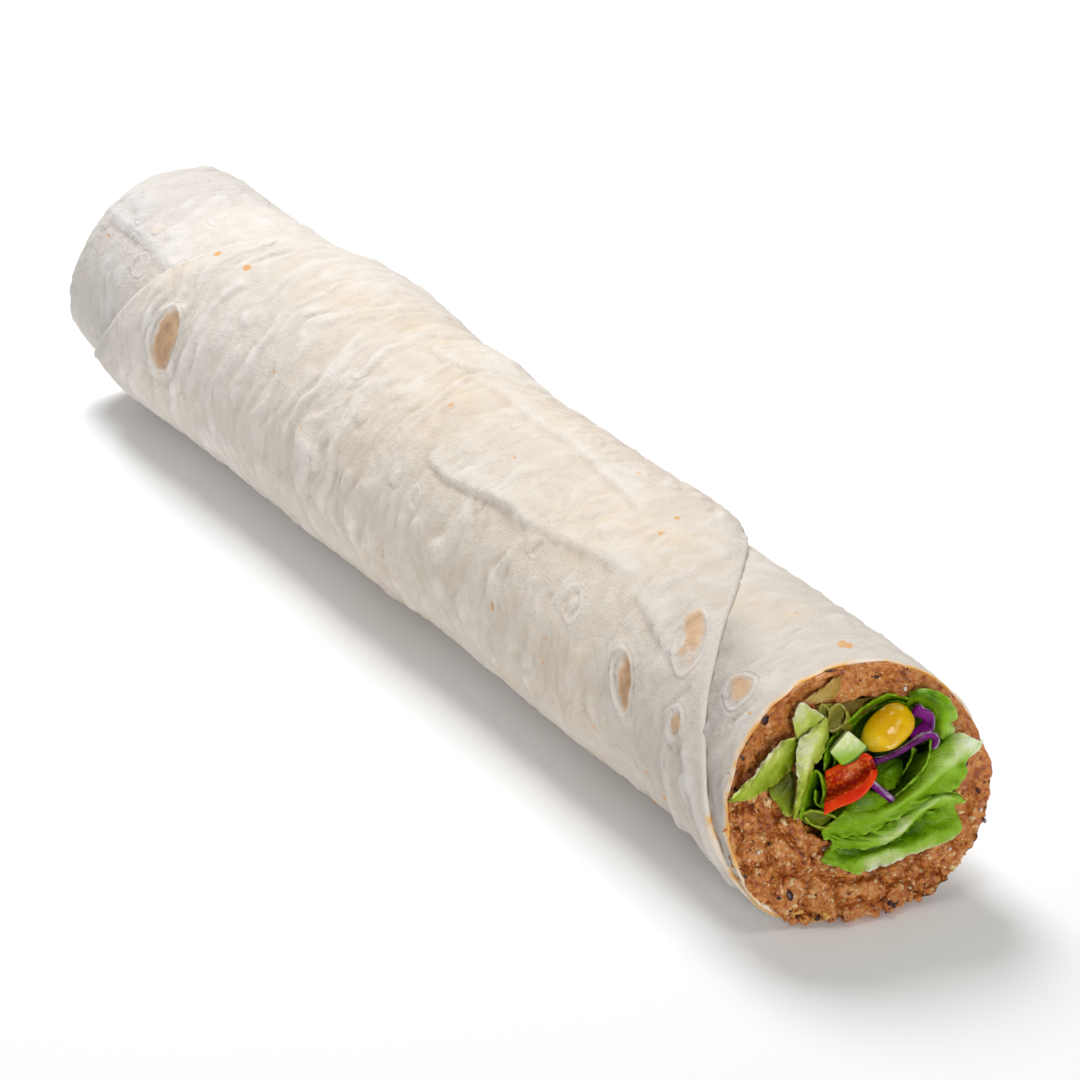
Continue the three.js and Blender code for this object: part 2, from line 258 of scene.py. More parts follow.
# Small scorched flecks: place along the roll, angle, turn, and size
FLECKS = [
    (-76, 23, 0, 1.2), (-118, 50, 1, 0.9), (-120, 82, 1, 0.6), (-92, 10, 1, 0.6), (-84, -15, 1, 0.8),
    (-86, 26, 0, 1.1), (-100, 65, 0, 0.5), (-111, 116, 0, 0.6), (-73, 93, 0, 0.8), (-50, 54, 0, 0.7),
    (-35, 67, 0, 0.9), (3, -13, 0, 0.7), (-5, 18, 0, 0.8), (16, 25, 0, 0.6), (18, 20, 0, 0.6),
    (47, 55, 0, 0.6), (53, 57, 0, 0.6), (52, 75, 0, 0.8), (52, 87, 0, 0.7), (50, 97, 0, 0.6),
    (68, 100, 0, 0.8), (84, 103, 0, 0.9), (89, 111, 0, 1.5), (82, 124, 0, 0.8), (37, -14, 0, 0.7),
    (55, -5, 0, 0.9), (58, 7, 0, 0.9), (62, -2, 0, 0.6), (65, 1, 0, 0.5), (44, -41, 0, 0.9),
    (51, -38, 0, 0.8), (57, -33, 0, 0.9), (103, 34, 1, 0.6), (107, 48, 1, 0.6), (106, -7, 1, 1.9),
    (93, -4, 1, 0.8), (-19, -70, 0, 0.9), (21, -90, 1, 1.1), (-59, -100, 0, 0.8), (-99, -60, 1, 1.0),
    (71, -80, 1, 0.9), (101, -120, 1, 1.2), (-29, 170, 0, 0.9),
]

# Areas that have yellowed in baking: place along the roll, angle, turn, half length and half width
YELLOWED = [
    (-106, 33, 1, 3.5, 1.5), (-117, 17, 1, 3, 1.2), (-91, 43, 0, 4, 4), (86, 8, 1, 5, 4),
    (92, 0, 1, 4, 5), (-5, 9, 0, 15, 6), (11, -18, 0, 14, 5), (-33, -12, 0, 14, 7),
    (-52, 5, 0, 12, 6), (45, 19, 0, 12, 8), (59, 10, 0, 12, 6), (61, 80, 0, 12, 9), (-7, 30, 0, 9, 5),
    (31, -120, 1, 16, 9), (-59, -150, 0, 18, 8), (81, -150, 1, 9, 7), (-19, -75, 0, 14, 8),
]

# Folds that run along the roll: turn, the places and the angles they pass through, their height,
# the length over which they fade out at each end, and the width of their steep lower side
CREASES = [
    (0, (-13, -6, 0, 11, 21, 30, 42, 51), (-4, -2, -3, 0, -4, -1, 2, 5), 0.9, 7, 0.9),
    (0, (-27, -23, -19, -15, -11), (-3, 0, -1, -4, -9), 0.9, 3, 0.9),
    (0, (0, 4, 9, 16, 22, 32), (44, 45, 46, 44, 41, 38), 0.8, 5, 0.9),
    (0, (17, 23, 32, 42, 51, 67), (43, 41, 41, 38, 35, 30), 0.8, 9, 2.2),
    (0, (65, 73, 82, 93), (36, 41, 48, 53), 0.5, 5, 1.2),
    (1, (-125, -119, -103, -89), (41, 42, 44, 46), 0.9, 3, 0.9),
    (1, (-125, -120, -113), (29, 30, 32), 0.5, 4, 1),
]

# Folds that run round the roll: turn, the angles and the places they pass through, height, width
PLEATS = [
    (1, (36, 44, 52, 58, 68), (107.8, 107.5, 106.3, 104, 100), 0.4, 0.8),
    (0, (4, 20, 33), (71, 72, 70), 0.5, 1.2),
    (0, (68, 91, 106, 128, 150), (95, 101, 104, 105, 105), 0.7, 1.2),
    (0, (78, 93, 111, 133, 150), (92, 92, 92, 89, 87), 0.6, 1.2),
    (0, (50, 70, 88, 104), (-76, -76.5, -79, -83), 0.5, 1.2),
]


def unroll(x, angle, mark):
    """Distances from a mark along the roll and round it, in the sheet."""
    return x - mark[0], apart(angle, mark[1]) * np.radians(1) * ROLL_RADIUS


def crease(x, angle, xs, angles, height, fade, drop):
    """A fold whose upper side stands up and drops off short below."""
    _, across = unroll(x, angle, (0, np.interp(x, xs, angles)))
    ends = ramp((x - xs[0]) / fade) * ramp((xs[-1] - x) / fade)
    upper = np.exp(np.minimum(across, 0) / 4.5) * (1 - ramp(across / drop + 0.5))
    lower = -0.25 * hill(across - drop, 0.9 * drop)
    return height * ends * (upper + lower)


def pleat(x, angle, angles, xs, height, width):
    """A fold that is steeper on its far side."""
    angle = apart(angle, 0)
    along = x - np.interp(angle, angles, xs)
    ends = ramp((angle - angles[0]) / 12) * ramp((angles[-1] - angle) / 12)
    return height * ends * (hill(along, width) - 0.5 * hill(along + 1.5 * width, width))


def from_middle(x, angle, mark):
    """Distance from the middle of a leaning oval mark, in parts of the way to its outline."""
    along, round_roll = unroll(x, angle, mark)
    along = along - mark[5] * round_roll
    uneven_outline = 1 + 0.05 * np.sin(3 * np.arctan2(round_roll, along) + mark[0])
    return np.hypot(along / mark[3], round_roll / mark[4]) * uneven_outline


def baked_relief(x, angle, layer):
    """What stands up from the sheet where it has blistered, and where it is creased."""
    height = 1.5 * (layer == 0) * hill(x + 20, 9) * hill(apart(angle, -36), 17)
    for blister in RINGS:
        ring = from_middle(x, angle, blister)
        narrow = 0.6 / min(blister[3], blister[4])
        wall = hill(ring - 1, narrow) - 0.5 * hill(ring - 1 + 1.8 * narrow, 1.1 * narrow)
        dome = 0.45 * (1 - ramp(ring / 0.85))
        height += (layer == blister[2]) * blister[6] * (wall + dome)
    for turn, *fold in CREASES:
        height += (layer == turn) * crease(x, angle, *fold)
    for turn, *fold in PLEATS:
        height += (layer == turn) * pleat(x, angle, *fold)
    return height


ROWS, COARSE = 279, 3  # rows across the sheet outside, and how many to one row inside
# How far each stretch of the sheet winds, and in how many columns: finest where it is outermost
STRETCHES = [(250, 165), (110, 60), (200, 66), (76, 15)]
COLUMNS = sum(columns for _, columns in STRETCHES)


def sheet_grid():
    """Turns and shares of the length: rows crowd at the edges, and at both ends of a hidden turn."""
    starts = np.cumsum([0] + [winding for winding, _ in STRETCHES])
    runs = [np.linspace(starts[k], starts[k + 1], n, endpoint=False) for k, (_, n) in enumerate(STRETCHES)]
    turn = np.append(np.concatenate(runs), SHEET_TURN)[:, None]
    steps = np.linspace(0, 1, ROWS + 1)[None]
    closer = hill(steps * ROWS - 1, 0.6) - hill((1 - steps) * ROWS - 1, 0.6)
    hidden = 0.1 * ramp((turn - 352) / 16) * np.sin(4 * np.pi * steps) / 2
    return turn + 0 * steps, steps - hidden + (0.0022 - 1 / ROWS) * closer


def baking_marks(x, angle, layer):
    """How toasted, scorched and yellowed each place is, and its distance from the nearest ring."""
    toast = yellow = fleck = bold = 0
    ring = 9 + 0 * x
    for blister in RINGS:
        outside_ring = (from_middle(x, angle, blister) - 1) * min(blister[3:5])
        nearest = (layer == blister[2]) & (np.abs(outside_ring) < np.abs(ring))
        ring = np.where(nearest, outside_ring, ring)
        bold = np.where(nearest, blister[6], bold)
    for mark in TOASTED:
        brown = mark[6] * np.clip(1.5 - 0.75 * from_middle(x, angle, mark), 0, 1)
        toast = np.maximum(toast, (layer == mark[2]) * brown)
    for mark in FLECKS:
        away = np.hypot(*unroll(x, angle, mark)) / mark[3]
        fleck = np.maximum(fleck, (layer == mark[2]) * np.clip(1.6 - away, 0, 1))
    for mark in YELLOWED:
        along, round_roll = unroll(x, angle, mark)
        away = np.hypot(along / mark[3], round_roll / mark[4])
        yellow = np.maximum(yellow, (layer == mark[2]) * hill(away, 1))
    return {"toast": toast, "fleck": fleck, "yellow": yellow, "ring": np.clip(ring, -3, 3), "bold": bold}


def flatbread_points(turn, share, outside):
    """The sheet's points, with what the relief and the finish need to know at each of them."""
    plain, angle = ROLL_RADIUS - PITCH * turn / 360, TIP_ANGLE + turn
    layer = (turn >= 360).astype(int)
    far, near = far_edge(turn), near_edge(turn, plain)
    x = far + share * (near - far)
    from_edge = np.minimum(x - far, near - x)
    from_flap = np.minimum(x - far + 99 * (turn > FAR_FREE_TURN), near - x + 99 * (turn > FREE_TURN))
    thinned = FLAP_THINNED * ramp(1 - from_flap / 5)
    bedded = (PITCH - SHEET) * ramp(1 - from_flap / FLAP_TAPER)
    at_rim = ramp(1 - (near - x) / RIM_TAPER) * (turn > FREE_TURN)
    relief = baked_relief(x, angle, layer)
    lifted = 1.4 * hill(x - 46, 14) * hill(turn - 52, 36)
    loose = 1.3 * hill(x + 112, 13) * hill(turn - 212, 28)
    radius = plain + swell(x, angle) + lifted + relief + loose - bedded - thinned
    if outside:
        corner = 1 - np.sqrt(1 - np.clip(1 - from_edge / 0.6, 0, 1) ** 2)
        radius = radius - (EDGE_ROUNDING - 0.35 * at_rim) * corner
    else:
        radius = radius - (SHEET - RIM_THINNED * at_rim - thinned)
    depth = (0 if outside else SHEET) + layer * PITCH

    wrinkled = 0.3 + 0.7 * ramp((x + 100) / 12) * ramp((8 - x) / 30) * hill(apart(angle, 45), 62)
    wrinkled += 0.45 * hill(apart(angle, -125), 45) * ramp((70 - x) / 60)
    # Painted shade: the inner turn darkens just past the flap's edge, where the flap shades it
    past_flap = x - near_edge(np.maximum(turn - 360, 0), plain)
    sheltered = (turn > 362) * (past_flap > -5) * ramp(1 - past_flap / 13)
    return {
        "points": around(x, np.minimum(radius, over_floor(depth, angle)), angle),
        "flat_place": np.stack([turn * np.radians(1) * ROLL_RADIUS, x, 0 * x], -1) * MM,
        "outward": np.stack([0 * angle, -sine(angle), cosine(angle)], -1),
        "wrinkled": wrinkled * (1 - 0.7 * layer) * ramp(from_edge / 6 + 0.2),
        "oiled": ramp(1.1 - (near - x) / 0.8) * (turn >= NEAR_TURN - 10),
        "sheltered": sheltered * (angle % 360 < 175) * ramp((angle % 360 - 8) / 22),
        "edge": ramp(1 - from_edge / 0.7),
        "raised": relief,
        **baking_marks(x, angle, layer),
    }


def grid_faces(columns, rows, first=0):
    """Quads of a grid of (columns + 1) by (rows + 1) points."""
    corner = first + np.arange(columns)[:, None] * (rows + 1) + np.arange(rows)
    return np.stack([corner, corner + rows + 1, corner + rows + 2, corner + 1], -1).reshape(-1, 4)


def border(columns, rows, first=0):
    """The points round a grid's edge, in order, as a closed loop."""
    index = first + np.arange(columns + 1)[:, None] * (rows + 1) + np.arange(rows + 1)
    return np.concatenate((index[:-1, 0], index[-1, :-1], index[:0:-1, -1], index[0, :0:-1]))


def rolled_sheet():
    """A fine grid for the outside of the sheet, a coarse one for its inside, and a stitched rim."""
    turn, share = sheet_grid()
    outer = flatbread_points(turn, share, True)
    pick = (slice(None, None, COARSE), slice(None, None, COARSE))
    inner = flatbread_points(turn[pick], share[pick], False)
    faces = [list(f) for f in grid_faces(COLUMNS, ROWS)]
    faces += [list(f[::-1]) for f in grid_faces(COLUMNS // COARSE, ROWS // COARSE, turn.size)]
    fine = border(COLUMNS, ROWS)
    coarse = border(COLUMNS // COARSE, ROWS // COARSE, turn.size)
    for i, start in enumerate(coarse):
        end = coarse[(i + 1) % len(coarse)]
        f = [fine[(i * COARSE + k) % len(fine)] for k in range(COARSE + 1)]
        faces += [[start, f[1], f[0]], [start, end, f[2], f[1]], [end, f[3], f[2]]]
    joined = {}
    for key, values in outer.items():
        tail = (3,) if np.ndim(values) == 3 else ()
        joined[key] = np.concatenate([np.reshape(side[key], (-1, *tail)) for side in (outer, inner)])
    return joined, faces


def add_attribute(obj, name, values):
    """Keeps a number or a vector at each point of an object's mesh."""
    vector = np.ndim(values) == 2
    attribute = obj.data.attributes.new(name, "FLOAT_VECTOR" if vector else "FLOAT", "POINT")
    attribute.data.foreach_set("vector" if vector else "value", np.asarray(values, float).ravel())


class Field:
    """What a node puts out. A sum of fields adds the Math nodes that it stands for."""

    def __init__(self, socket):
        self.socket = socket

    def __add__(self, other):
        return maths("ADD", self, other)

    def __sub__(self, other):
        return maths("SUBTRACT", self, other)

    def __rsub__(self, other):
        return maths("SUBTRACT", other, self)

    def __mul__(self, other):
        return maths("MULTIPLY", self, other)

    def __truediv__(self, other):
        return maths("DIVIDE", self, other)

    def __rtruediv__(self, other):
        return maths("DIVIDE", other, self)

    __radd__, __rmul__ = __add__, __mul__


def fill(socket, value):
    """Links a field to an input, or gives the input a plain value."""
    if isinstance(value, Field):
        socket.id_data.links.new(value.socket, socket)
    else:
        socket.default_value = value


def add_node(tree, kind, inputs=None, **settings):
    """A node with its settings, and each input filled."""
    made = tree.nodes.new(kind)
    for name, value in settings.items():
        setattr(made, name, value)
    for name, value in (inputs or {}).items():
        fill(made.inputs[name], value)
    return made


def field(tree, kind, inputs=None, output=0, **settings):
    """One output of a new node."""
    return Field(add_node(tree, kind, inputs, **settings).outputs[output])


def tree_of(*values):
    """The node tree that the fields among these values belong to."""
    return next(value.socket.id_data for value in values if isinstance(value, Field))


def maths(operation, *values, clamp=False):
    """A Math node's result."""
    inputs = dict(enumerate(values))
    return field(tree_of(*values), "ShaderNodeMath", inputs, operation=operation, use_clamp=clamp)


def parts(vector):
    """A vector's three numbers."""
    split = add_node(tree_of(vector), "ShaderNodeSeparateXYZ", {0: vector})
    return [Field(socket) for socket in split.outputs]


def scaled(vector, size):
    """A vector made longer or shorter."""
    inputs = {0: vector, "Scale": size}
    return field(tree_of(vector), "ShaderNodeVectorMath", inputs, operation="SCALE")


def stepped(value, low, high, to=(0, 1)):
    """A smooth step from low to high."""
    inputs = {"Value": value, "From Min": low, "From Max": high, "To Min": to[0], "To Max": to[1]}
    return field(tree_of(value), "ShaderNodeMapRange", inputs, interpolation_type="SMOOTHSTEP")


def new_tree(kind, name, inputs, outputs):
    """A node tree with named inputs and outputs: the tree, its inputs as fields, and its end."""
    tree = bpy.data.node_groups.new(name, kind)
    for in_out, sockets in (("INPUT", inputs), ("OUTPUT", outputs)):
        for label, carries in sockets.items():
            tree.interface.new_socket(label, in_out=in_out, socket_type="NodeSocket" + carries)
    given = tree.nodes.new("NodeGroupInput").outputs
    end = tree.nodes.new("NodeGroupOutput").inputs
    return tree, {label: Field(given[label]) for label in inputs}, end


def growing_tree(name, sizes):
    """A Geometry Nodes tree whose inputs are the mesh and these named sizes."""
    inputs = {label: "Int" if isinstance(value, int) else "Float" for label, value in sizes.items()}
    inputs = {"Geometry": "Geometry", **inputs}
    return new_tree("GeometryNodeTree", name, inputs, {"Geometry": "Geometry"})


def finish_tree(geometry, material, end):
    """Ends a tree: instances made real, and the material set."""
    tree = tree_of(geometry)
    real = field(tree, "GeometryNodeRealizeInstances", {"Geometry": geometry})
    fill(end[0], field(tree, "GeometryNodeSetMaterial", {"Geometry": real, "Material": material}))
    return tree


def grown(obj, tree, sizes):
    """The object with a tree's result as its plain mesh."""
    modifier = obj.modifiers.new(tree.name, "NODES")
    modifier.node_group = tree
    for item in tree.interface.items_tree:
        if item.in_out == "INPUT" and item.name in sizes:
            modifier[item.identifier] = sizes[item.name]
    evaluated = obj.evaluated_get(bpy.context.evaluated_depsgraph_get())
    mesh = bpy.data.meshes.new_from_object(evaluated)
    obj.modifiers.clear()
    old, obj.data = obj.data, mesh
    bpy.data.meshes.remove(old)
    mesh.name = obj.name
    return obj


def stored_value(tree, name, kind="FLOAT"):
    """An attribute of the mesh that a Geometry Nodes tree works on."""
    return field(tree, "GeometryNodeInputNamedAttribute", {"Name": name}, "Attribute", data_type=kind)


def keep_value(geometry, name, value, domain="POINT"):
    """The geometry with a number kept at each of its points."""
    settings = {"data_type": "FLOAT", "domain": domain}
    inputs = {"Geometry": geometry, "Name": name, "Value": value}
    return field(tree_of(geometry), "GeometryNodeStoreNamedAttribute", inputs, **settings)


def moved(geometry, direction, distance):
    """The geometry with its points moved by a distance in a direction."""
    inputs = {"Geometry": geometry, "Offset": scaled(direction, distance)}
    return field(tree_of(geometry), "GeometryNodeSetPosition", inputs)


def kept_above(geometry, least):
    """The geometry with no point lower than this."""
    tree = tree_of(geometry)
    x, y, z = parts(field(tree, "GeometryNodeInputPosition"))
    above = field(tree, "ShaderNodeCombineXYZ", {0: x, 1: y, 2: maths("MAXIMUM", z, least)})
    return field(tree, "GeometryNodeSetPosition", {"Geometry": geometry, "Position": above})


SKIN = {
    "Wrinkle Height": 0.00062, "Wrinkle Length": 0.022, "Wrinkle Spacing": 0.0036,
    "Blister Height": 0.0005, "Blister Length": 0.0075, "Blister Width": 0.0045,
    "Pebble Height": 0.0006, "Pebble Length": 0.0046, "Pebble Width": 0.0021,
}


def skin_tree(material):
    """Lifts the sheet by wrinkles, flat blisters and fine pebbles, and keeps it above the floor."""
    tree, given, end = growing_tree("baked skin", SKIN)
    flat = stored_value(tree, "flat_place", "FLOAT_VECTOR")
    round_roll, along_roll, _ = parts(flat)
    bend = field(tree, "ShaderNodeTexNoise", {"Vector": flat, "Scale": 70, "Detail": 1})
    along_roll = along_roll + (bend - 0.5) * 0.012

    def pattern(kind, length, width, **values):
        """A texture stretched round the roll to these sizes."""
        place = {0: round_roll / given[length], 1: along_roll / given[width]}
        stretched = field(tree, "ShaderNodeCombineXYZ", place)
        return add_node(tree, kind, {"Vector": stretched, "Scale": 1, **values}).outputs

    folds = Field(pattern("ShaderNodeTexNoise", "Wrinkle Length", "Wrinkle Spacing", Detail=1.5)[0])
    swing = (folds - 0.5) * 3.2
    wrinkle = (swing + (maths("ABSOLUTE", swing) - 0.35) * 0.7) * given["Wrinkle Height"]
    wrinkle = wrinkle * stored_value(tree, "wrinkled")
    cells = pattern("ShaderNodeTexVoronoi", "Blister Length", "Blister Width", Randomness=0.9)
    drawn = field(tree, "FunctionNodeSeparateColor", {0: Field(cells["Color"])})
    kept = field(tree, "ShaderNodeMapRange", {"Value": drawn, "From Min": 0.35, "From Max": 0.8})
    blister = stepped(Field(cells["Distance"]), 0.5, 0.18) * kept * given["Blister Height"]
    fine = Field(pattern("ShaderNodeTexNoise", "Pebble Length", "Pebble Width", Detail=2)[0])
    pebble = (fine - 0.5) * given["Pebble Height"]
    height = wrinkle + (blister + pebble * 2)
    calm = 1 - stored_value(tree, "edge") * 0.6
    lifted = moved(given["Geometry"], stored_value(tree, "outward", "FLOAT_VECTOR"), height * calm)
    total = stored_value(tree, "raised") + height / MM
    return finish_tree(keep_value(kept_above(lifted, 0), "raised", total), material, end)


def shader_attribute(tree, name):
    return field(tree, "ShaderNodeAttribute", output="Fac", attribute_name=name)


def object_place(tree):
    return field(tree, "ShaderNodeTexCoord", output="Object")


def noise(tree, size, detail=2, vector=None, roughness=0.5):
    """Noise whose lumps are about this size, in metres on the piece itself."""
    vector = vector or object_place(tree)
    inputs = {"Vector": vector, "Scale": 1 / size, "Detail": detail, "Roughness": roughness}
    return field(tree, "ShaderNodeTexNoise", inputs)


def feed(shader, **fields):
    """Lets fields drive a shader's own sockets."""
    for label, value in fields.items():
        fill(shader.inputs[label.replace("_", " ")], value)


def effect(name, inputs, outputs, rule):
    """An effect that several materials share: a node group built once from a rule."""
    group, given, end = new_tree("ShaderNodeTree", name, dict.fromkeys(inputs, "Float"), outputs)
    for socket, value in zip(end, rule(group, *given.values())):
        fill(socket, value)

    def placed(tree, *values):
        """The effect in one material, with that material's own values."""
        node = add_node(tree, "ShaderNodeGroup", dict(zip(inputs, values)), node_tree=group)
        made = [Field(socket) for socket in node.outputs]
        return made[0] if len(made) == 1 else made

    return placed


def relief(tree, height, depth, strength):
    """A normal bent by a height, which is in parts of a depth in metres."""
    inputs = {"Height": height, "Distance": depth, "Strength": strength}
    return field(tree, "ShaderNodeBump", inputs)


# Soft patches of a size, from 0 between them to 1 inside them
patches = effect(
    "patches", ("Size", "Detail", "Low", "High"), {"Share": "Float"},
    lambda tree, size, detail, low, high: [stepped(noise(tree, size, detail), low, high)])

# A value that strays to both sides of nothing, by up to half a swing
uneven = effect(
    "uneven", ("Size", "Detail", "Swing"), {"Shift": "Float"},
    lambda tree, size, detail, swing: [(noise(tree, size, detail) - 0.5) * swing])

# Thin lines between small cells, fading from 1 on the line to 0 at a width
crazed = effect(
    "crazed", ("Cells per Metre", "Width", "Core"), {"Line": "Float"},
    lambda tree, scale, width, core: [stepped(field(
        tree, "ShaderNodeTexVoronoi", {"Vector": object_place(tree), "Scale": scale},
        feature="DISTANCE_TO_EDGE"), width, core)])


def mixed(share, first, second, blend="MIX"):
    """Two colours mixed by a share that changes over the surface."""
    node = add_node(tree_of(share, first, second), "ShaderNodeMix", data_type="RGBA", blend_type=blend)
    in_use = [socket for socket in node.inputs if socket.enabled]
    for socket, value in zip(in_use, (share, first, second)):
        fill(socket, (*value, 1) if isinstance(value, tuple) else value)
    return Field(next(socket for socket in node.outputs if socket.enabled))


def bubbled(tree, place, spacing, share):
    """Low domes of gas bubbles, in about this share of evenly scattered cells."""
    cells = add_node(tree, "ShaderNodeTexVoronoi", {"Vector": place, "Scale": 1 / spacing}).outputs
    drawn = field(tree, "ShaderNodeSeparateColor", {0: Field(cells["Color"])})
    return stepped(drawn, 1 - share, 1) * stepped(Field(cells["Distance"]), 0.48, 0.2)


DOUGH, PALE_DOUGH, FLOUR = (0.80, 0.725, 0.635), (0.85, 0.79, 0.72), (0.88, 0.825, 0.765)
CUT_END_DOUGH, MIDDLE_DOUGH = (0.72, 0.68, 0.63), (0.865, 0.83, 0.795)
FAR_END_DOUGH, DAMP_DOUGH = (0.67, 0.645, 0.63), (0.52, 0.48, 0.44)
YELLOWED_DOUGH, EDGE_DOUGH = (0.89, 0.715, 0.50), (0.95, 0.9, 0.82)
GROOVE, RIDGE = (0.66, 0.55, 0.45), (0.93, 0.88, 0.82)
LIGHT_TOAST, DARK_TOAST, TOAST_CRACK = (0.74, 0.49, 0.29), (0.60, 0.355, 0.20), (0.47, 0.27, 0.15)
SCORCHED, OILED, SOAKED = (0.80, 0.40, 0.11), (0.95, 0.87, 0.74), (0.88, 0.46, 0.10)
LOW_PLACES, HIGH_PLACES = (0.87, 0.83, 0.78), (1, 1, 1)  # what they multiply the colour by


def baked_dough():
    """Floury dough with toasted blisters, scorched flecks and an oil-soaked rim."""
    material, tree, shader = new_material("baked dough", Specular_IOR_Level=0.25)
    colour = mixed(patches(tree, 0.016, 3, 0.35, 0.7), DOUGH, PALE_DOUGH)
    colour = mixed(patches(tree, 0.004, 3, 0.45, 0.75) * 0.5, colour, FLOUR)
    # Painted shade darkens the dough near the cut end and at the far end; between them the far half is paler
    along_roll = parts(object_place(tree))[0]
    colour = mixed(stepped(along_roll, 0.06, 0.085, (0, 0.55)), colour, CUT_END_DOUGH)
    colour = mixed(stepped(along_roll, -0.01, -0.07, (0, 0.6)), colour, MIDDLE_DOUGH)
    colour = mixed(stepped(along_roll, -0.094, -0.112, (0, 0.6)), colour, FAR_END_DOUGH)
    cloudy = stepped(noise(tree, 0.0035, 4, roughness=0.65), 0.38, 0.68)
    yellowed = shader_attribute(tree, "yellow") * (cloudy * 0.42 + 0.08)
    colour = mixed(yellowed, colour, YELLOWED_DOUGH)
    # Painted shade on the inner turn beside the flap's edge, where the flap shades it
    damp = shader_attribute(tree, "sheltered") * (patches(tree, 0.006, 3, 0.3, 0.65) * 0.4 + 0.6)
    colour = mixed(damp, colour, DAMP_DOUGH)
    # Painted shade: the colour darkens down the relief, from none on its high places to most in its low ones
    raised = stepped(shader_attribute(tree, "raised"), -0.55, 0.75)
    colour = mixed(1, colour, mixed(raised, LOW_PLACES, HIGH_PLACES), "MULTIPLY")

    # Blisters: a ridge round each, with a groove outside it, lightened on the ridge by painted light and
    # darkened in the groove by painted shade
    from_ring = shader_attribute(tree, "ring") + uneven(tree, 0.003, 2, 0.5)
    bold = shader_attribute(tree, "bold")
    ridge = stepped(maths("ABSOLUTE", from_ring + 0.25), 0.6, 0) * bold
    groove = stepped(maths("ABSOLUTE", from_ring - 0.35), 0.5, 0) * bold
    colour = mixed(groove * 0.3, colour, GROOVE)
    colour = mixed(ridge * 0.3, colour, RIDGE)

    # Their toasted tops, crackled where darkest, and scorched flecks
    toast, broken = shader_attribute(tree, "toast"), uneven(tree, 0.0019, 4, 0.8)
    browned = stepped(toast + (broken + uneven(tree, 0.0045, 1, 0.9)), 0.28, 0.7)
    browned = browned * stepped(toast, 0, 0.7, (0.35, 1))
    crack = crazed(tree, 300, 0.16, 0.03) * patches(tree, 0.003, 2, 0.4, 0.6) * stepped(toast, 0.75, 0.98)
    toasted = mixed(stepped(toast, 0.6, 0.95), LIGHT_TOAST, DARK_TOAST)
    colour = mixed(browned * 0.92, colour, mixed(crack, toasted, TOAST_CRACK))
    scorched = stepped(shader_attribute(tree, "fleck") + broken, 0.72, 1, (0, 0.9))
    colour = mixed(scorched, colour, SCORCHED)

    # Paler along its edges, and stained by oil at the rim
    colour = mixed(shader_attribute(tree, "edge") * 0.5, colour, EDGE_DOUGH)
    oiled = shader_attribute(tree, "oiled")
    soaked = oiled * (patches(tree, 0.005, 3, 0.38, 0.56) * 0.8 + 0.2)
    colour = mixed(soaked, mixed(oiled, colour, OILED), SOAKED)

    # Fine relief, drawn out round the roll as the dough was stretched
    flat = field(tree, "ShaderNodeAttribute", output="Vector", attribute_name="flat_place")
    bent = field(tree, "ShaderNodeTexNoise", {"Vector": flat, "Scale": 260, "Detail": 1}, "Color")
    bent = field(tree, "ShaderNodeVectorMath", {0: flat, 1: scaled(bent, 0.0022)})
    longer = {"Vector": bent, "Scale": (1.5, 1, 1)}
    longer = field(tree, "ShaderNodeMapping", longer, vector_type="TEXTURE")
    bubbles = bubbled(tree, longer, 0.0066, 0.5) + bubbled(tree, longer, 0.0038, 0.55)
    bubbles = bubbles * (patches(tree, 0.02, 1, 0.35, 0.6) * 0.75 + 0.25)
    grain = noise(tree, 0.0014, 4, longer, 0.6) * 0.7 + noise(tree, 0.0005) * 0.3
    grain = grain + bubbles * 0.65 + (ridge - groove) * 0.5
    normal = relief(tree, grain, 0.0005, 0.9)
    feed(shader, Base_Color=colour, Roughness=0.82 - soaked * 0.35, Normal=normal)
    return material


baked, faces = rolled_sheet()
flatbread = new_object("flatbread_sheet", baked.pop("points"), faces)
for name, values in baked.items():
    add_attribute(flatbread, name, values)
flatbread = grown(flatbread, skin_tree(baked_dough()), SKIN)
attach(flatbread, "root")
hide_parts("flatbread")

# --- Paste -------------------------------------------------------------------------------------
# A thick tube of fine bulgur kneaded raw with pepper paste and spices, moist and sticky. It was
# pressed along the sheet before rolling, and at the cut it swells out over the flatbread's rim.

CUT_X, CUT_LEAN = 115.5, 0.27  # the cut through the filling
FAR_RECESS = 3  # how far the paste stays inside the flatbread at the far end
CORE_Y, CORE_Z, CORE_RADIUS = 2.5, 1.5, 14.4  # the salad core, off the roll's axis
LIP_RADIUS, LIP_ROUNDING = 23.6, 0.45  # the paste that has pressed out over the rim at the back
PASTE_COLUMNS = 288
SKIN_GAP, LIP_GAP = 3, 0.4  # how far its skin and its lip stay above the floor
CORE_CENTRE = np.array((0, CORE_Y, CORE_Z))


def face_x(y, z):
    """Where the cut is along the roll, at y and z from its axis."""
    return CUT_X - CUT_LEAN * (-y * sine(LEAN_ANGLE) + z * cosine(LEAN_ANGLE))


def cut_under(points):
    """Where the cut is along the roll, at the y and z of some points."""
    return face_x(points[:, 1], points[:, 2] - AXIS_HEIGHT)


def fill_radius(angle):
    """The inside of the innermost turn, which steps out where the flatbread begins."""
    turn = (angle - TIP_ANGLE) % 360
    begins = SHEET_TURN - 360
    wound = np.where(turn <= begins + 2, turn + 360, turn + 360 * (1 - ramp((turn - begins) / 24)))
    return ROLL_RADIUS - PITCH * wound / 360 - SHEET + 0.05


def bore_radius(angle):
    """The uneven bore that the salad lies in."""
    top = 1.5 * hill(apart(angle, -4), 20)
    return CORE_RADIUS + cosine(angle + 45) + 0.5 * cosine(3 * angle) + 0.5 * sine(7 * angle) - top


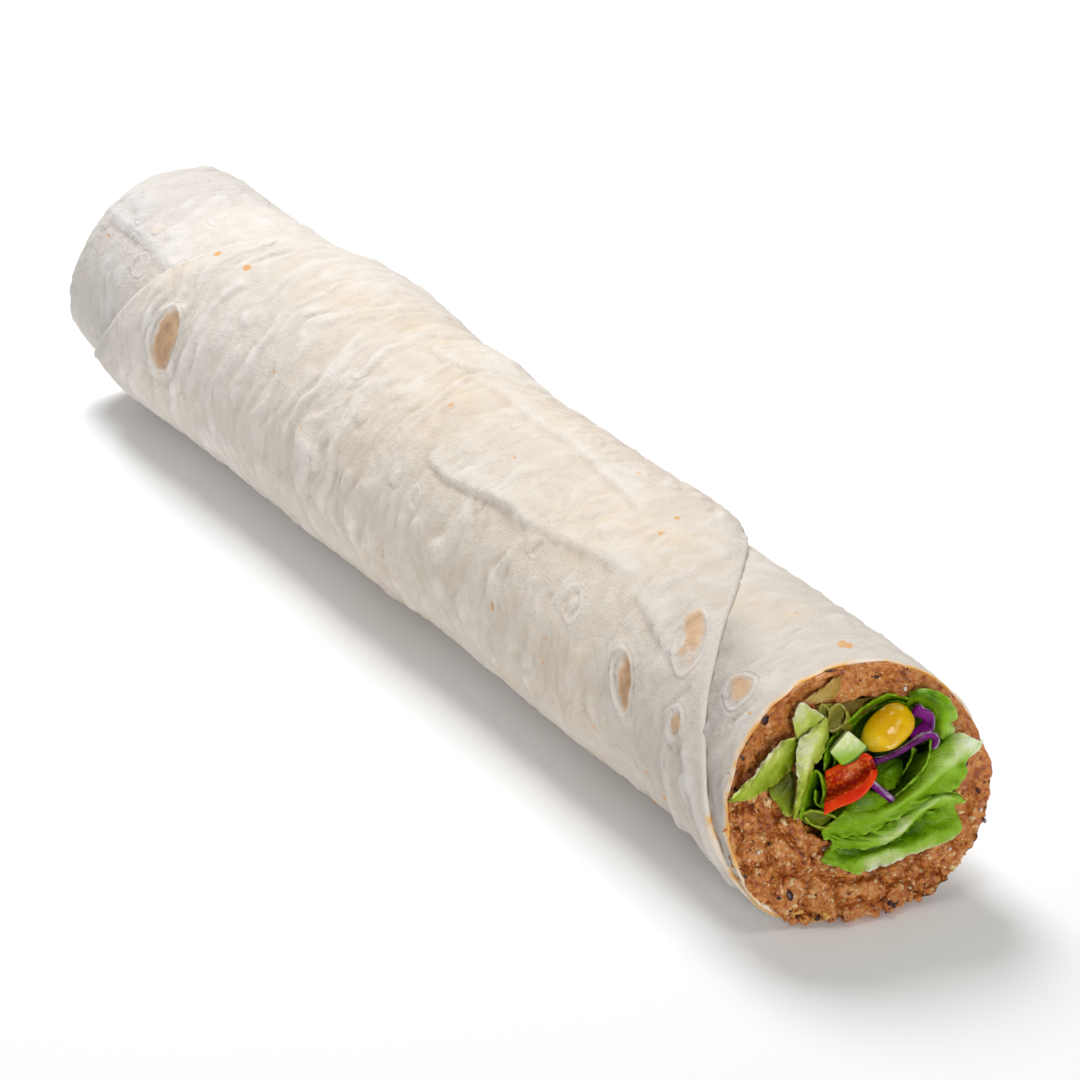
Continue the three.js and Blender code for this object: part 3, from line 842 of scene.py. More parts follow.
def bulge(angle, share):
    """How far the cut paste stands out: most where it is heaped below the salad."""
    heap = 1.1 * hill(apart(angle, 122), 34) * hill(share - 0.4, 0.4)
    foot = 3.2 * hill(apart(angle, 172), 26) * ramp(share)
    return heap + foot - 0.5 * hill(apart(angle, -10), 40)


# The parts of the paste's section, in order round it, and how many rows of points each has
SECTION = {"skin": 10, "lip": 9, "face": 38, "bore": 18, "far": 26}


def paste_points():
    """The paste's rows, and for each point how open, how coarse and how grainy the paste is."""
    angle = np.arange(PASTE_COLUMNS) * 360 / PASTE_COLUMNS
    inner, bore = fill_radius(angle), around(0 * angle, bore_radius(angle), angle) + CORE_CENTRE
    start = FAR_END + FAR_RECESS + 0.5 * sine(3 * angle)
    rim = np.maximum(*(cut_at(RIM_X, RIM_LEAN, radius, angle) for radius in (ROLL_RADIUS, inner)))
    back = ramp((cosine(angle + 150) - 0.25) / 0.35)
    at_rim = inner + RIM_THINNED + swell(rim, angle)
    skin = np.minimum(at_rim, over_floor(SKIN_GAP, angle))
    outer = at_rim + back * (LIP_RADIUS - RIM_THINNED - inner)
    outer = np.minimum(outer, over_floor(LIP_GAP, angle))
    rounding = LIP_ROUNDING + 0.85 * back
    rows, opened, coarse, room = [], [], [], []
    for part, t in [(part, k / count) for part, count in SECTION.items() for k in range(count)]:
        shown = clear = 0 * angle
        if part == "skin":
            x = start + (1 - (1 - t) ** 3) * (rim - start)
            radius = inner + RIM_THINNED * ramp(1 - (rim - x) / RIM_TAPER) + swell(x, angle)
            p = around(x, np.minimum(radius, over_floor(SKIN_GAP, angle)), angle)
        elif part == "lip":
            reach = cut_under(around(rim, outer, angle)) + bulge(angle, 1) - rim - 0.3
            reach = np.maximum(reach, 0.4)
            turn, corner = ramp(t) * 90, np.minimum(reach, rounding)
            x = rim + 0.1 + t * (reach - corner) + corner * sine(turn)
            p = around(x, outer - corner * (1 - cosine(turn)), angle)
            if t == 0:
                p = around(rim + 0.1, np.maximum(outer - 0.3, skin), angle)
            shown = np.maximum(0.52 + 0.48 * ramp(t * 1.4), back)
            clear = 0.1 + 0.5 * t + 0.35 * back
        elif part == "face":
            edge = around(0 * angle, outer - rounding, angle)
            p = edge + (t + 0.5 / SECTION["face"]) * (bore - edge)
            p[:, 0] = cut_under(p) + bulge(angle, 1 - t)
            shown, clear = 1 + shown, 0.6 + 0.4 * ramp(t * 5)
        elif part == "bore":
            front = cut_under(bore) - 0.7
            beyond = (front - start - 18) * (t - 0.75) / 0.25
            p = bore.copy()
            p[:, 0] = front - (9 * t if t < 0.8 else 9 * t + beyond)
            shown, clear = shown + (0.85 if t < 0.7 else 0.1), 0.8
        else:
            inside = np.column_stack([start, bore[:, 1:]])
            p = inside + t * (around(start, inner + swell(start, angle), angle) - inside)
            p[:, 0] -= 1.2 * np.sin(np.pi * t)
            shown, clear = shown + 0.9, 0.8
        rows.append(p)
        opened.append(shown)
        room.append(clear * (shown > 0.7))
        coarse.append(ramp(0.5 - ((p[:, 2] - AXIS_HEIGHT) * 0.9 + p[:, 1] * 0.35) / 26))
    return np.concatenate(rows), {
        "opened": np.concatenate(opened), "coarse": np.concatenate(coarse), "room": np.concatenate(room),
    }


def ring_faces(rows, columns):
    """Quads of rows of points that close both round each row and from the last row to the first."""
    i, j = np.meshgrid(np.arange(rows), np.arange(columns), indexing="ij")
    a, b = i * columns + j, i * columns + (j + 1) % columns
    c, d = (i + 1) % rows * columns + (j + 1) % columns, (i + 1) % rows * columns + j
    return np.stack([a, b, c, d], -1).reshape(-1, 4)


PASTE_SKIN = {
    "Lump Height": 0.0034, "Lump Size": 0.0065, "Crack Depth": 0.0017, "Clump Size": 0.0062,
    "Grain Height": 0.0009, "Grain Size": 0.0017,
}


def paste_tree(material):
    """Roughens the paste where it is cut: clumps with cracks between them, and grains on them."""
    tree, given, end = growing_tree("kneaded paste", PASTE_SKIN)
    shown, coarse = stored_value(tree, "opened"), stored_value(tree, "coarse")
    lumps = field(tree, "ShaderNodeTexNoise", {"Scale": 1 / given["Lump Size"], "Detail": 2})
    lump = (lumps - 0.5) * given["Lump Height"] * (shown * shown)
    bent = scaled(field(tree, "ShaderNodeTexNoise", {"Scale": 160, "Detail": 1}, "Color"), 0.005)
    bent = field(tree, "ShaderNodeVectorMath", {0: field(tree, "GeometryNodeInputPosition"), 1: bent})
    clumps = {"Vector": bent, "Scale": 1 / given["Clump Size"]}
    clumps = field(tree, "ShaderNodeTexVoronoi", clumps, "Distance", feature="DISTANCE_TO_EDGE")
    near_crack = stepped(clumps, 0.15, 0)
    crack = near_crack * given["Crack Depth"] * coarse
    grains = field(tree, "ShaderNodeTexVoronoi", {"Scale": 1 / given["Grain Size"]}, "Distance")
    grain = (0.45 - grains) * given["Grain Height"] * (coarse * 0.8 + 0.45)
    height = (lump + grain - crack) * shown
    # Where painted shade will go on the paste: its cracks and the low places between its lumps
    low = maths("SUBTRACT", 0.47, lumps, clamp=True) * 2.5
    hollow = maths("MULTIPLY", near_crack + low, coarse, clamp=True)
    rough = moved(given["Geometry"], field(tree, "GeometryNodeInputNormal"), height)
    return finish_tree(keep_value(kept_above(rough, 0.0002), "hollow", hollow), material, end)


def colour_stops(tree, share, stops):
    """A colour drawn from stops, each a place from 0 to 1 and its colour."""
    node = add_node(tree, "ShaderNodeValToRGB", {"Fac": share})
    elements = node.color_ramp.elements
    for place, _ in stops[1:-1]:
        elements.new(place)
    for element, (place, colour) in zip(elements, stops):
        element.position = place
        element.color = (*colour, 1)
    return Field(node.outputs[0])


# From dark pepper red through orange oil to pale bulgur
SPICED = [(0, (0.12, 0.02, 0.003)), (0.3, (0.47, 0.12, 0.018)), (0.55, (0.67, 0.235, 0.042)),
          (0.8, (0.74, 0.34, 0.12)), (1, (0.86, 0.54, 0.25))]


def spiced_rule(tree, tint):
    """Painted shade down in the cracks and between the lumps, and painted light that makes the foot of the
    heap a little paler.
    """
    sunken = shader_attribute(tree, "hollow") * -0.2
    heaped = stepped(parts(object_place(tree))[2], 0.03, 0.012, (0, 0.05))
    return [colour_stops(tree, maths("ADD", tint, sunken + heaped, clamp=True), SPICED)]


spiced = effect("spiced bulgur", ("Tint",), {"Colour": "Color"}, spiced_rule)

# Small round pits, by the distance from the middle of each
pitted = effect(
    "pitted", ("Pits per Metre",), {"Distance": "Float"},
    lambda tree, scale: [field(tree, "ShaderNodeTexVoronoi", {"Vector": object_place(tree), "Scale": scale})])


def moist_paste():
    """Oily paste, cloudy and speckled."""
    material, tree, shader = new_material(
        "moist bulgur paste", Roughness=0.28, Specular_IOR_Level=0.4, Coat_Weight=0.25, Coat_Roughness=0.16,
        Subsurface_Weight=0.15, Subsurface_Radius=(0.003, 0.0012, 0.0005), Subsurface_Scale=1)
    tint = uneven(tree, 0.006, 3, 0.7) + uneven(tree, 0.0012, 3, 1.5) + 0.465
    grainy = noise(tree, 0.0008, 3) - pitted(tree, 820)
    feed(shader, Base_Color=spiced(tree, tint), Normal=relief(tree, grainy, 0.0006, 1))
    return material


points, paste_values = paste_points()
faces = ring_faces(len(points) // PASTE_COLUMNS, PASTE_COLUMNS)
paste = new_object("kofte_paste_tube", points, faces)
for name, values in paste_values.items():
    add_attribute(paste, name, values)
paste = grown(paste, paste_tree(moist_paste()), PASTE_SKIN)
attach(paste, "root")
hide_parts("kofte_paste")

GRAINS = {"Spacing": 0.00082, "Least Size": 0.0005, "Greatest Size": 0.0011, "Sunk": 0.58, "Seed": 4}
GRAIN_SHAPES = 4


def grain_tree(material):
    """Chips of bulgur set into the paste wherever it is cut, each with its own size, turn and tint."""
    tree, given, end = growing_tree("bulgur grains", GRAINS)
    room = stored_value(tree, "room")
    spread = add_node(tree, "GeometryNodeDistributePointsOnFaces", {
        "Mesh": given["Geometry"], "Distance Min": given["Spacing"], "Density Max": 3e6,
        "Density Factor": maths("GREATER_THAN", room, 0.3), "Seed": given["Seed"],
    }, distribute_method="POISSON").outputs
    chips = tree.nodes.new("GeometryNodeJoinGeometry")
    for k in range(GRAIN_SHAPES):
        block = field(tree, "GeometryNodeMeshIcoSphere", {"Radius": 1, "Subdivisions": 1})
        wear = {"Scale": 1.3, "W": 3.1 * k, "Detail": 0}
        wear = field(tree, "ShaderNodeTexNoise", wear, noise_dimensions="4D")
        worn = scaled(field(tree, "GeometryNodeInputPosition"), wear * 0.9 + 0.55)
        chip = field(tree, "GeometryNodeSetPosition", {"Geometry": block, "Position": worn})
        fill(chips.inputs[0], field(tree, "GeometryNodeGeometryToInstance", {"Geometry": chip}))

    def drawn(low, high, seed, kind="FLOAT"):
        """A value drawn anew for each grain."""
        node = add_node(tree, "FunctionNodeRandomValue", data_type=kind)
        least, most, _, seeded = [socket for socket in node.inputs if socket.enabled]
        for socket, value in ((least, low), (most, high), (seeded, seed)):
            fill(socket, value)
        return Field(next(socket for socket in node.outputs if socket.enabled))

    luck = drawn(0, 1, 11)
    length = luck * luck * (given["Greatest Size"] - given["Least Size"]) + given["Least Size"]
    sized = length * (stored_value(tree, "coarse") * 0.5 + 0.62) * room
    sunk = moved(Field(spread["Points"]), Field(spread["Normal"]), sized * (given["Sunk"] * -1))
    placed = field(tree, "GeometryNodeInstanceOnPoints", {
        "Points": sunk, "Instance": Field(chips.outputs[0]), "Pick Instance": True,
        "Instance Index": drawn(0, GRAIN_SHAPES - 1, 13, "INT"),
        "Scale": scaled(drawn((0.8, 0.55, 0.45), (1.25, 0.95, 0.8), 12, "FLOAT_VECTOR"), sized),
        "Rotation": drawn((0, 0, 0), (6.28, 6.28, 6.28), 14, "FLOAT_VECTOR"),
    })
    return finish_tree(keep_value(placed, "tint", drawn(0, 1, 15), "INSTANCE"), material, end)


# Fine lumps on a wet surface
pebbled = effect(
    "pebbled", ("Size", "Detail", "Depth", "Strength"), {"Normal": "Vector"},
    lambda tree, size, detail, depth, strength: [relief(tree, noise(tree, size, detail), depth, strength)])


def wet_grain():
    """A translucent chip of bulgur, stained by the paste."""
    material, tree, shader = new_material(
        "wet bulgur grain", Roughness=0.22, Specular_IOR_Level=0.45, Coat_Weight=0.3, Coat_Roughness=0.14,
        Subsurface_Weight=0.3, Subsurface_Radius=(0.002, 0.0009, 0.0004), Subsurface_Scale=1)
    tint = maths("POWER", shader_attribute(tree, "tint"), 1.3) * 0.92
    tint = tint + uneven(tree, 0.0009, 2, 0.7) + 0.26
    feed(shader, Base_Color=spiced(tree, tint), Normal=pebbled(tree, 0.0005, 2, 0.00015, 0.8))
    return material


grains = bpy.data.objects.new("bulgur_grains", paste.data.copy())
scene.collection.objects.link(grains)
grains = grown(grains, grain_tree(wet_grain()), GRAINS)
for polygon in grains.data.polygons:
    polygon.use_smooth = True
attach(grains, "root")

# --- Lettuce -----------------------------------------------------------------------------------
# Leaves of cos lettuce, torn and laid down the middle of the roll, held by the paste round them.
# Their torn ends spill over the cut: thin, folded, nearly white by the ribs and greener outwards.

SPILLING = np.array((1, -0.55, 0.56))  # out of the cut, up and to the front
LEAF, LEAF_COLUMNS, LEAF_ROWS = 0.34, 72, 22  # thickness, and squares along and across a leaf


def on_cut(place):
    """Points of the cut, from y, z and how far each stands out of it, up and to the front."""
    y, z, lift = np.moveaxis(np.asarray(place, float)[..., :3], -1, 0)
    on_face = np.stack([face_x(y, z), y, AXIS_HEIGHT + z], -1)
    return on_face + lift[..., None] * SPILLING


def spline(knots, at):
    """A smooth curve through knots, at places counted in knots."""
    knots = np.asarray(knots, float)
    padded = np.concatenate([2 * knots[:1] - knots[1:2], knots, 2 * knots[-1:] - knots[-2:-1]])
    i = np.clip(np.asarray(at).astype(int), 0, len(knots) - 2)
    t = (at - i).reshape(-1, *[1] * (knots.ndim - 1))
    a, b, c, d = (padded[i + k] for k in range(4))
    curve = 2 * b + (c - a) * t + (2 * a - 5 * b + 4 * c - d) * t**2 + (3 * b - a - 3 * c + d) * t**3
    return 0.5 * curve


def evenly(knots, count):
    """Points at even steps along a smooth curve through knots."""
    knots = np.asarray(knots, float)
    gone = np.append(0, np.cumsum(np.linalg.norm(np.diff(knots[:, :2], axis=0), axis=1) + 0.01))
    return spline(knots, np.interp(np.linspace(0, gone[-1], count), gone, np.arange(len(knots))))


def leaf_points(rows, loose, ruffle, seed):
    """A sheet through rows of y, z, lift and tone, frilled and notched along its loose sides."""
    rng = np.random.default_rng(seed)
    lines = np.array([evenly(row, LEAF_COLUMNS + 1) for row in rows])
    grid = spline(lines, np.linspace(0, len(rows) - 1, LEAF_ROWS + 1))
    side = np.linspace(-1, 1, LEAF_ROWS + 1)[:, None]
    edge = np.where(side < 0, loose[0], loose[1]) * np.abs(side) ** 2.5
    middle = grid[LEAF_ROWS // 2, :, :2]
    run = np.append(0, np.cumsum(np.linalg.norm(np.diff(middle, axis=0), axis=1)))
    phase = rng.uniform(0, 6, 4)
    frill = np.sin(run / 0.62 + phase[0]) + 0.8 * np.sin(run / 0.39 + phase[1] + side)
    frill = frill + 0.5 * np.sin(run / 0.23 + phase[2])
    cockling = np.sin(run / 0.9 + 4 * side + phase[3]) * np.cos(3 * side + phase[0] + run / 2.6)
    grid[..., 2] += ruffle * (edge * frill + 0.4 * cockling)
    outward = np.gradient(grid[..., :2], axis=0)
    outward /= np.maximum(np.linalg.norm(outward, axis=-1, keepdims=True), 1e-6)
    notch = wander(run + 7 * phase[0], 0.55, 0.9, 0.43, 0.21) * ruffle
    grid[..., :2] += outward * (np.sign(side) * edge * np.abs(side) ** 3 * notch)[..., None]
    return grid, run, side


def settled(obj, replaces=None):
    """Makes a piece a part of the wrap."""
    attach(obj, "root")
    if replaces:
        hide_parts(replaces)


def lay_leaf(name, rows, loose=(1, 1), ruffle=0.5, seed=0, sink=None, replaces=None,
             pale_rim=1, material=None):
    """One leaf over the cut; where it sinks, that side carries on down into the bundle."""
    if sink:
        inner = [CORE_CENTRE[1:] + 0.72 * (np.array(p[:2]) - CORE_CENTRE[1:]) for p in rows[0]]
        rows = [[(*place, p[2] - sink, 0.12) for place, p in zip(inner, rows[0])], *rows]
    grid, run, side = leaf_points(rows, loose, ruffle, seed)
    points = on_cut(grid)
    faces = grid_faces(LEAF_ROWS, LEAF_COLUMNS)[:, [0, 3, 2, 1]]
    made = new_object(name, points.reshape(-1, 3), faces, material or cos_leaf)
    across = np.cumsum(np.linalg.norm(np.diff(points, axis=0, prepend=points[:1]), axis=-1), axis=0)
    from_rib = across - across[len(across) // 2]
    place = np.stack([run + 0 * across, from_rib, 0 * across], -1) * MM
    add_attribute(made, "leaf_place", place.reshape(-1, 3))
    add_attribute(made, "tone", grid[..., 3].ravel())
    rim = np.where(side < 0, loose[0], loose[1]) * ramp((np.abs(side) - 0.86) / 0.14)
    add_attribute(made, "rim", (pale_rim * rim + 0 * run).ravel())
    rounded = made.modifiers.new("thickness", "SOLIDIFY")
    rounded.thickness = LEAF * MM
    rounded.offset = 0
    settled(made, replaces)


def veined_rule(tree, vein_rate, rim_paleness, cockle_depth):
    """Veins that branch off the rib and a fine net between them: how pale, and the cockling."""
    place = field(tree, "ShaderNodeAttribute", output="Vector", attribute_name="leaf_place")
    along, across, _ = parts(place)
    branching = along - maths("ABSOLUTE", across) * 1.2 + uneven(tree, 0.004, 2, 0.0022)
    vein = stepped(maths("SINE", branching * vein_rate), 0.78, 1)
    net = crazed(tree, 900, 0.12, 0)
    paler = vein * 0.045 + net * 0.025 + shader_attribute(tree, "rim") * rim_paleness + 0.02
    tone = shader_attribute(tree, "tone") + uneven(tree, 0.003, 3, 0.42)
    cockled = noise(tree, 0.0022) + vein * -0.22 + net * -0.06
    return [maths("ADD", tone, paler, clamp=True), relief(tree, cockled, cockle_depth, 0.7)]


veined = effect(
    "lettuce veins", ("Vein Rate", "Rim Paleness", "Cockle Depth"), {"Tone": "Float", "Normal": "Vector"},
    veined_rule)


def lettuce_leaf(name, stops):
    """A thin leaf that lets light through, its colours going from the blade to the rib."""
    material, tree, shader = new_material(
        name, Roughness=0.4, Specular_IOR_Level=0.22,
        Subsurface_Weight=0.35, Subsurface_Radius=(0.0012, 0.002, 0.0005), Subsurface_Scale=1)
    tone, normal = veined(tree, 2.1 / MM, 0.16, 0.0006)
    feed(shader, Base_Color=colour_stops(tree, tone, stops), Normal=normal)
    return material


cos_leaf = lettuce_leaf("cos lettuce leaf", [
    (0, (0.008, 0.042, 0.001)), (0.3, (0.078, 0.18, 0)), (0.5, (0.215, 0.41, 0.002)),
    (0.68, (0.31, 0.54, 0.04)), (0.84, (0.53, 0.70, 0.24)), (1, (0.78, 0.89, 0.64)),
])
faded_leaf = lettuce_leaf("yellowing lettuce", [
    (0, (0.04, 0.055, 0.001)), (0.3, (0.12, 0.14, 0.002)), (0.5, (0.21, 0.28, 0.006)),
    (0.68, (0.34, 0.44, 0.03)), (0.84, (0.58, 0.69, 0.13)), (1, (0.83, 0.90, 0.53)),
])
# Oil-soaked lettuce; its darkest tones serve as painted shade on the fill leaf under the top of the cut
soaked_leaf = lettuce_leaf("oil-soaked lettuce", [
    (0, (0.06, 0.04, 0.004)), (0.35, (0.26, 0.16, 0.02)),
    (0.6, (0.47, 0.28, 0.055)), (1, (0.62, 0.46, 0.16)),
])
pickled_leaf = lettuce_leaf("pickled leaf", [
    (0, (0.03, 0.035, 0.002)), (0.3, (0.12, 0.11, 0.006)),
    (0.6, (0.34, 0.31, 0.03)), (1, (0.62, 0.60, 0.25)),
])
# The torn leaves over the cut. Each row of a leaf lists y, z, lift and tone along it: tone goes
# from 0, deep green, to 1, nearly white, and its low values also paint shade where a leaf lies deep.
lay_leaf("left_tip_leaf", [
    [(-11.3, 15, 1.2, 0.93), (-9.8, 17.4, 1.6, 0.95), (-8, 16.2, 1.8, 0.87), (-5.5, 14, 1.8, 0.79)],
    [(-11.3, 13.5, 2.2, 0.79), (-9.5, 14, 3, 0.85), (-8, 14, 3, 0.75), (-6, 13, 1.8, 0.71)],
    [(-11, 11.5, 2, 0.75), (-10, 10.5, 2.2, 0.79), (-8, 12, 2, 0.73), (-6, 13, 1.4, 0.68)],
], ruffle=0.35, seed=3, replaces="leaf_left_tip", material=faded_leaf)
lay_leaf("left_long_leaf", [
    [(-23.5, 2, 0.8, 0.64), (-21, 4.5, 1.6, 0.8), (-18.5, 6.5, 2, 0.89), (-15.5, 10, 2.4, 0.92),
     (-12.5, 11.5, 2.2, 0.77), (-10.5, 11.5, 1.5, 0.62)],
    [(-23, 2, 1, 0.62), (-20, 3.5, 2.2, 0.67), (-17.5, 6, 3, 0.64), (-15, 8, 3.3, 0.72),
     (-12.5, 9.5, 3, 0.52),
     (-10.5, 9.5, 2, 0.34)],
    [(-22, 2, 0.8, 0.62), (-19, 2, 1.2, 0.6), (-17.5, 3, 1.4, 0.52), (-15, 4, 1.6, 0.42),
     (-13, 5.5, 1.5, 0.34),
     (-11.5, 7, 1.2, 0.27)],
], ruffle=0.45, seed=5, replaces="leaf_left_long", material=faded_leaf)
lay_leaf("left_under_leaf", [
    [(-16.5, 3.5, 0.6, 0.3), (-14.5, 4, 0.8, 0.15), (-12, 5.5, 1, 0.1)],
    [(-16, 1.5, 1.2, 0.45), (-14, 1.5, 1.6, 0.3), (-12, 2.5, 1.4, 0.1)],
    [(-15, 0.5, 0.7, 0.6), (-14, -2, 0.7, 0.62), (-12.5, -2.5, 0.8, 0.5)],
], ruffle=0.3, seed=7, material=faded_leaf)
lay_leaf("left_folded_leaf", [
    [(-5.5, 14, 2.5, 0.71), (-8.5, 12.5, 3.2, 0.83), (-11, 10.5, 3.6, 0.91), (-11.5, 7.5, 3.6, 0.93),
     (-11.5, 3.5, 3.4, 0.88), (-12, 0.5, 3, 0.73), (-12.5, -2.5, 2.2, 0.65)],
    [(-5.5, 13.5, 2.8, 0.68), (-7, 11.5, 4.4, 0.78), (-9, 9, 4.9, 0.9), (-10, 6, 4.9, 0.83),
     (-10.5, 3, 4.4, 0.63),
     (-11.5, 0.5, 3.8, 0.67), (-12.5, -3, 2.6, 0.63)],
    [(-5.5, 10.5, 2, 0.55), (-6, 9.5, 2.8, 0.53), (-7, 7.5, 3.2, 0.51), (-8.5, 6, 3.2, 0.51),
     (-9.5, 3.5, 3, 0.43),
     (-10.5, 1, 2.6, 0.48), (-12, -3, 2, 0.53)],
], ruffle=0.4, seed=8, replaces="leaf_left_fold", material=faded_leaf)
lay_leaf("right_lower_leaf", [
    [(16, -6, 1.2, 0.5), (13, -6, 1.2, 0.35), (10, -6.5, 1, 0.3), (7.5, -8.5, 0.9, 0.2),
     (4, -10, 0.8, 0.2),
     (0.5, -10, 0.7, 0.22), (-4, -10, 0.6, 0.25), (-7, -10, 0.5, 0.35)],
    [(16.5, -7.5, 1.8, 0.5), (13.5, -8.5, 1.4, 0.42), (10.5, -9, 1.2, 0.34), (8, -10, 1, 0.28),
     (4.5, -11, 1, 0.3),
     (1, -11.5, 1, 0.28), (-3, -11.5, 0.9, 0.25), (-7.5, -11, 0.6, 0.5)],
    [(17, -9.5, 2.6, 0.52), (14, -10.5, 2.8, 0.5), (11, -11, 2.8, 0.55), (8, -12, 2.6, 0.58),
     (5, -12, 2.4, 0.66),
     (1, -12.5, 2.2, 0.74), (-3, -13, 1.8, 0.45), (-8, -11.5, 0.7, 0.6)],
    [(17.2, -10.5, 1.8, 0.6), (15, -12.2, 1.8, 0.65), (11, -13, 1.9, 0.72), (8.5, -13.3, 2, 0.8),
     (5, -14.2, 1.9, 0.84), (0.5, -15, 1.6, 0.8), (-2.5, -15, 1.2, 0.62), (-8, -11.8, 0.6, 0.6)],
], ruffle=0.5, seed=11, replaces="leaf_low")
lay_leaf("right_middle_leaf", [
    [(16.5, -3.5, 2, 0.6), (13.5, -3.5, 2, 0.65), (10.5, -4, 1.9, 0.6), (7.5, -5.5, 1.8, 0.5),
     (4.5, -7, 1.6, 0.5),
     (0.5, -8, 1.4, 0.45), (-4, -8, 1.2, 0.45), (-7.5, -6.5, 1, 0.42)],
    [(17.5, -5, 3.2, 0.62), (14, -4, 3.6, 0.7), (11, -5, 3.8, 0.78), (8.5, -6.5, 3.6, 0.72),
     (5.5, -9, 3.4, 0.8),
     (2.5, -9.5, 2.8, 0.68), (-1.5, -9.5, 2.2, 0.5), (-6, -8.5, 1.4, 0.45)],
    [(18, -5.5, 2.8, 0.55), (15.5, -6, 2.4, 0.5), (11.5, -5.8, 2.6, 0.35), (9, -7.4, 2.4, 0.3),
     (6.3, -9.4, 2.2, 0.4), (3, -10.7, 2, 0.6), (-1.5, -10.7, 1.6, 0.5), (-6.5, -9.5, 1, 0.4)],
], ruffle=0.45, seed=12)
lay_leaf("right_upper_leaf", [
    [(17.5, 7, 2.6, 0.85), (15, 5.3, 2.6, 0.55), (13, 4.3, 2.2, 0.5), (11.2, 1.8, 1.9, 0.5),
     (9.2, -0.6, 1.8, 0.4),
     (5.8, -2.8, 1.8, 0.35), (2.5, -4, 1.8, 0.4), (-0.5, -3.6, 1.6, 0.4), (-3.5, -3.2, 1.4, 0.45)],
    [(19.5, 6, 4.2, 0.9), (16.5, 3.5, 4.4, 0.82), (14, 1.5, 4.4, 0.7), (12, -0.5, 4.2, 0.68),
     (8.5, -2.5, 3.8, 0.58),
     (5.5, -4, 3.2, 0.6), (2, -5, 2.8, 0.45), (-1.5, -5, 2.6, 0.42), (-5.3, -4.6, 1.8, 0.5)],
    [(21, 5, 3.4, 1), (19, 3.5, 3.2, 0.78), (16.5, 1, 3, 0.6), (13.5, -1, 2.8, 0.5),
     (10.5, -3, 2.4, 0.48),
     (7.5, -4, 2.2, 0.52), (3, -6, 2.2, 0.6), (-1.5, -6.6, 2.2, 0.5), (-7.6, -6, 1.4, 0.45)],
    [(22, 5, 3.2, 0.95), (20.5, 3, 3, 0.85), (18.3, 1.5, 3, 0.55), (18.5, -0.5, 3, 0.5),
     (16.5, -3, 2.8, 0.5),
     (12.5, -3.5, 2.4, 0.5), (6.5, -6, 2.4, 0.45), (0, -8, 2.2, 0.42), (-7.4, -7.8, 1.2, 0.5)],
], loose=(0, 1), ruffle=0.5, seed=13, sink=4, replaces="leaf_right")
lay_leaf("top_right_leaf", [
    [(9.5, 14.5, 0, 0.5), (11.5, 14, 0.4, 0.5), (13, 12.5, 0.6, 0.45), (13.5, 10.5, 0.6, 0.4),
     (13.5, 8.5, 0.4, 0.4),
     (14, 6.5, 0, 0.5)],
    [(9.5, 15, 1.4, 0.26), (11.5, 15, 2.4, 0.26), (13.5, 14, 3, 0.32), (15, 12, 3.2, 0.42),
     (15.5, 10, 2.8, 0.52),
     (15, 8.5, 2.2, 0.62), (14.5, 6.5, 1.2, 0.6)],
    [(9.5, 15.5, 0.8, 0.3), (12, 16, 1.6, 0.34), (14.5, 15, 2.2, 0.42), (16, 13.5, 2.4, 0.46),
     (17.5, 11, 2.2, 0.55),
     (17.5, 9.5, 1.8, 0.62), (16.5, 9, 1.6, 0.68), (17, 7.5, 1.6, 0.72), (15.5, 5.5, 1, 0.66)],
], loose=(0, 1), ruffle=0.35, seed=17, sink=4, replaces="leaf_top_right")
lay_leaf("below_pepper_leaf", [
    [(-5.5, -4, 0.6, 0.4), (-3.5, -3, 0.9, 0.3), (-1, -1, 1.2, 0.3), (1, -0.5, 1, 0.25)],
    [(-4, -5.5, 1.6, 0.55), (-1.5, -4.5, 2.1, 0.4), (1.5, -3, 2.2, 0.35), (4, -2, 1.8, 0.4)],
    [(-3, -6, 0.6, 0.5), (0, -6, 1, 0.45), (3.5, -5, 1.2, 0.45), (6, -3.5, 1, 0.5)],
], loose=(0, 1), ruffle=0.35, seed=19, sink=3)
# Set back and low in tone: painted shade in the gap beside the pepper
lay_leaf("inner_leaf", [
    [(3.5, 4.5, -2, 0.2), (6, 4, -1.2, 0.15), (7.8, 3.5, -2, 0.06)],
    [(3, 2, -1, 0.32), (5.5, 2, 0.3, 0.28), (7.6, 2, -0.8, 0.1)],
    [(2.6, -0.8, -1.5, 0.5), (5.5, -1.4, -0.8, 0.5), (7, 0, -1.5, 0.4)],
], loose=(0.3, 1), ruffle=0.35, seed=23)
lay_leaf("pressed_leaf", [
    [(-8.8, 17.5, 0.5, 0.66), (-7.4, 18.6, 0.7, 0.68), (-5.4, 19.4, 0.7, 0.66), (-3.6, 20.5, 0.6, 0.68),
     (-2.3, 20.8, 0.3, 0.68)],
    [(-8, 17.2, 0.7, 0.61), (-6.4, 18, 1.0, 0.68), (-4.8, 18.6, 0.8, 0.61), (-3.4, 19.4, 0.7, 0.56),
     (-2.4, 20.6, 0.3, 0.56)],
    [(-7.4, 16.8, 0.5, 0.56), (-5.6, 16.9, 0.7, 0.66), (-3.8, 17.2, 0.7, 0.48), (-2.8, 18.6, 0.5, 0.41),
     (-2.4, 20.4, 0.2, 0.56)],
], ruffle=0.3, seed=29, material=soaked_leaf)
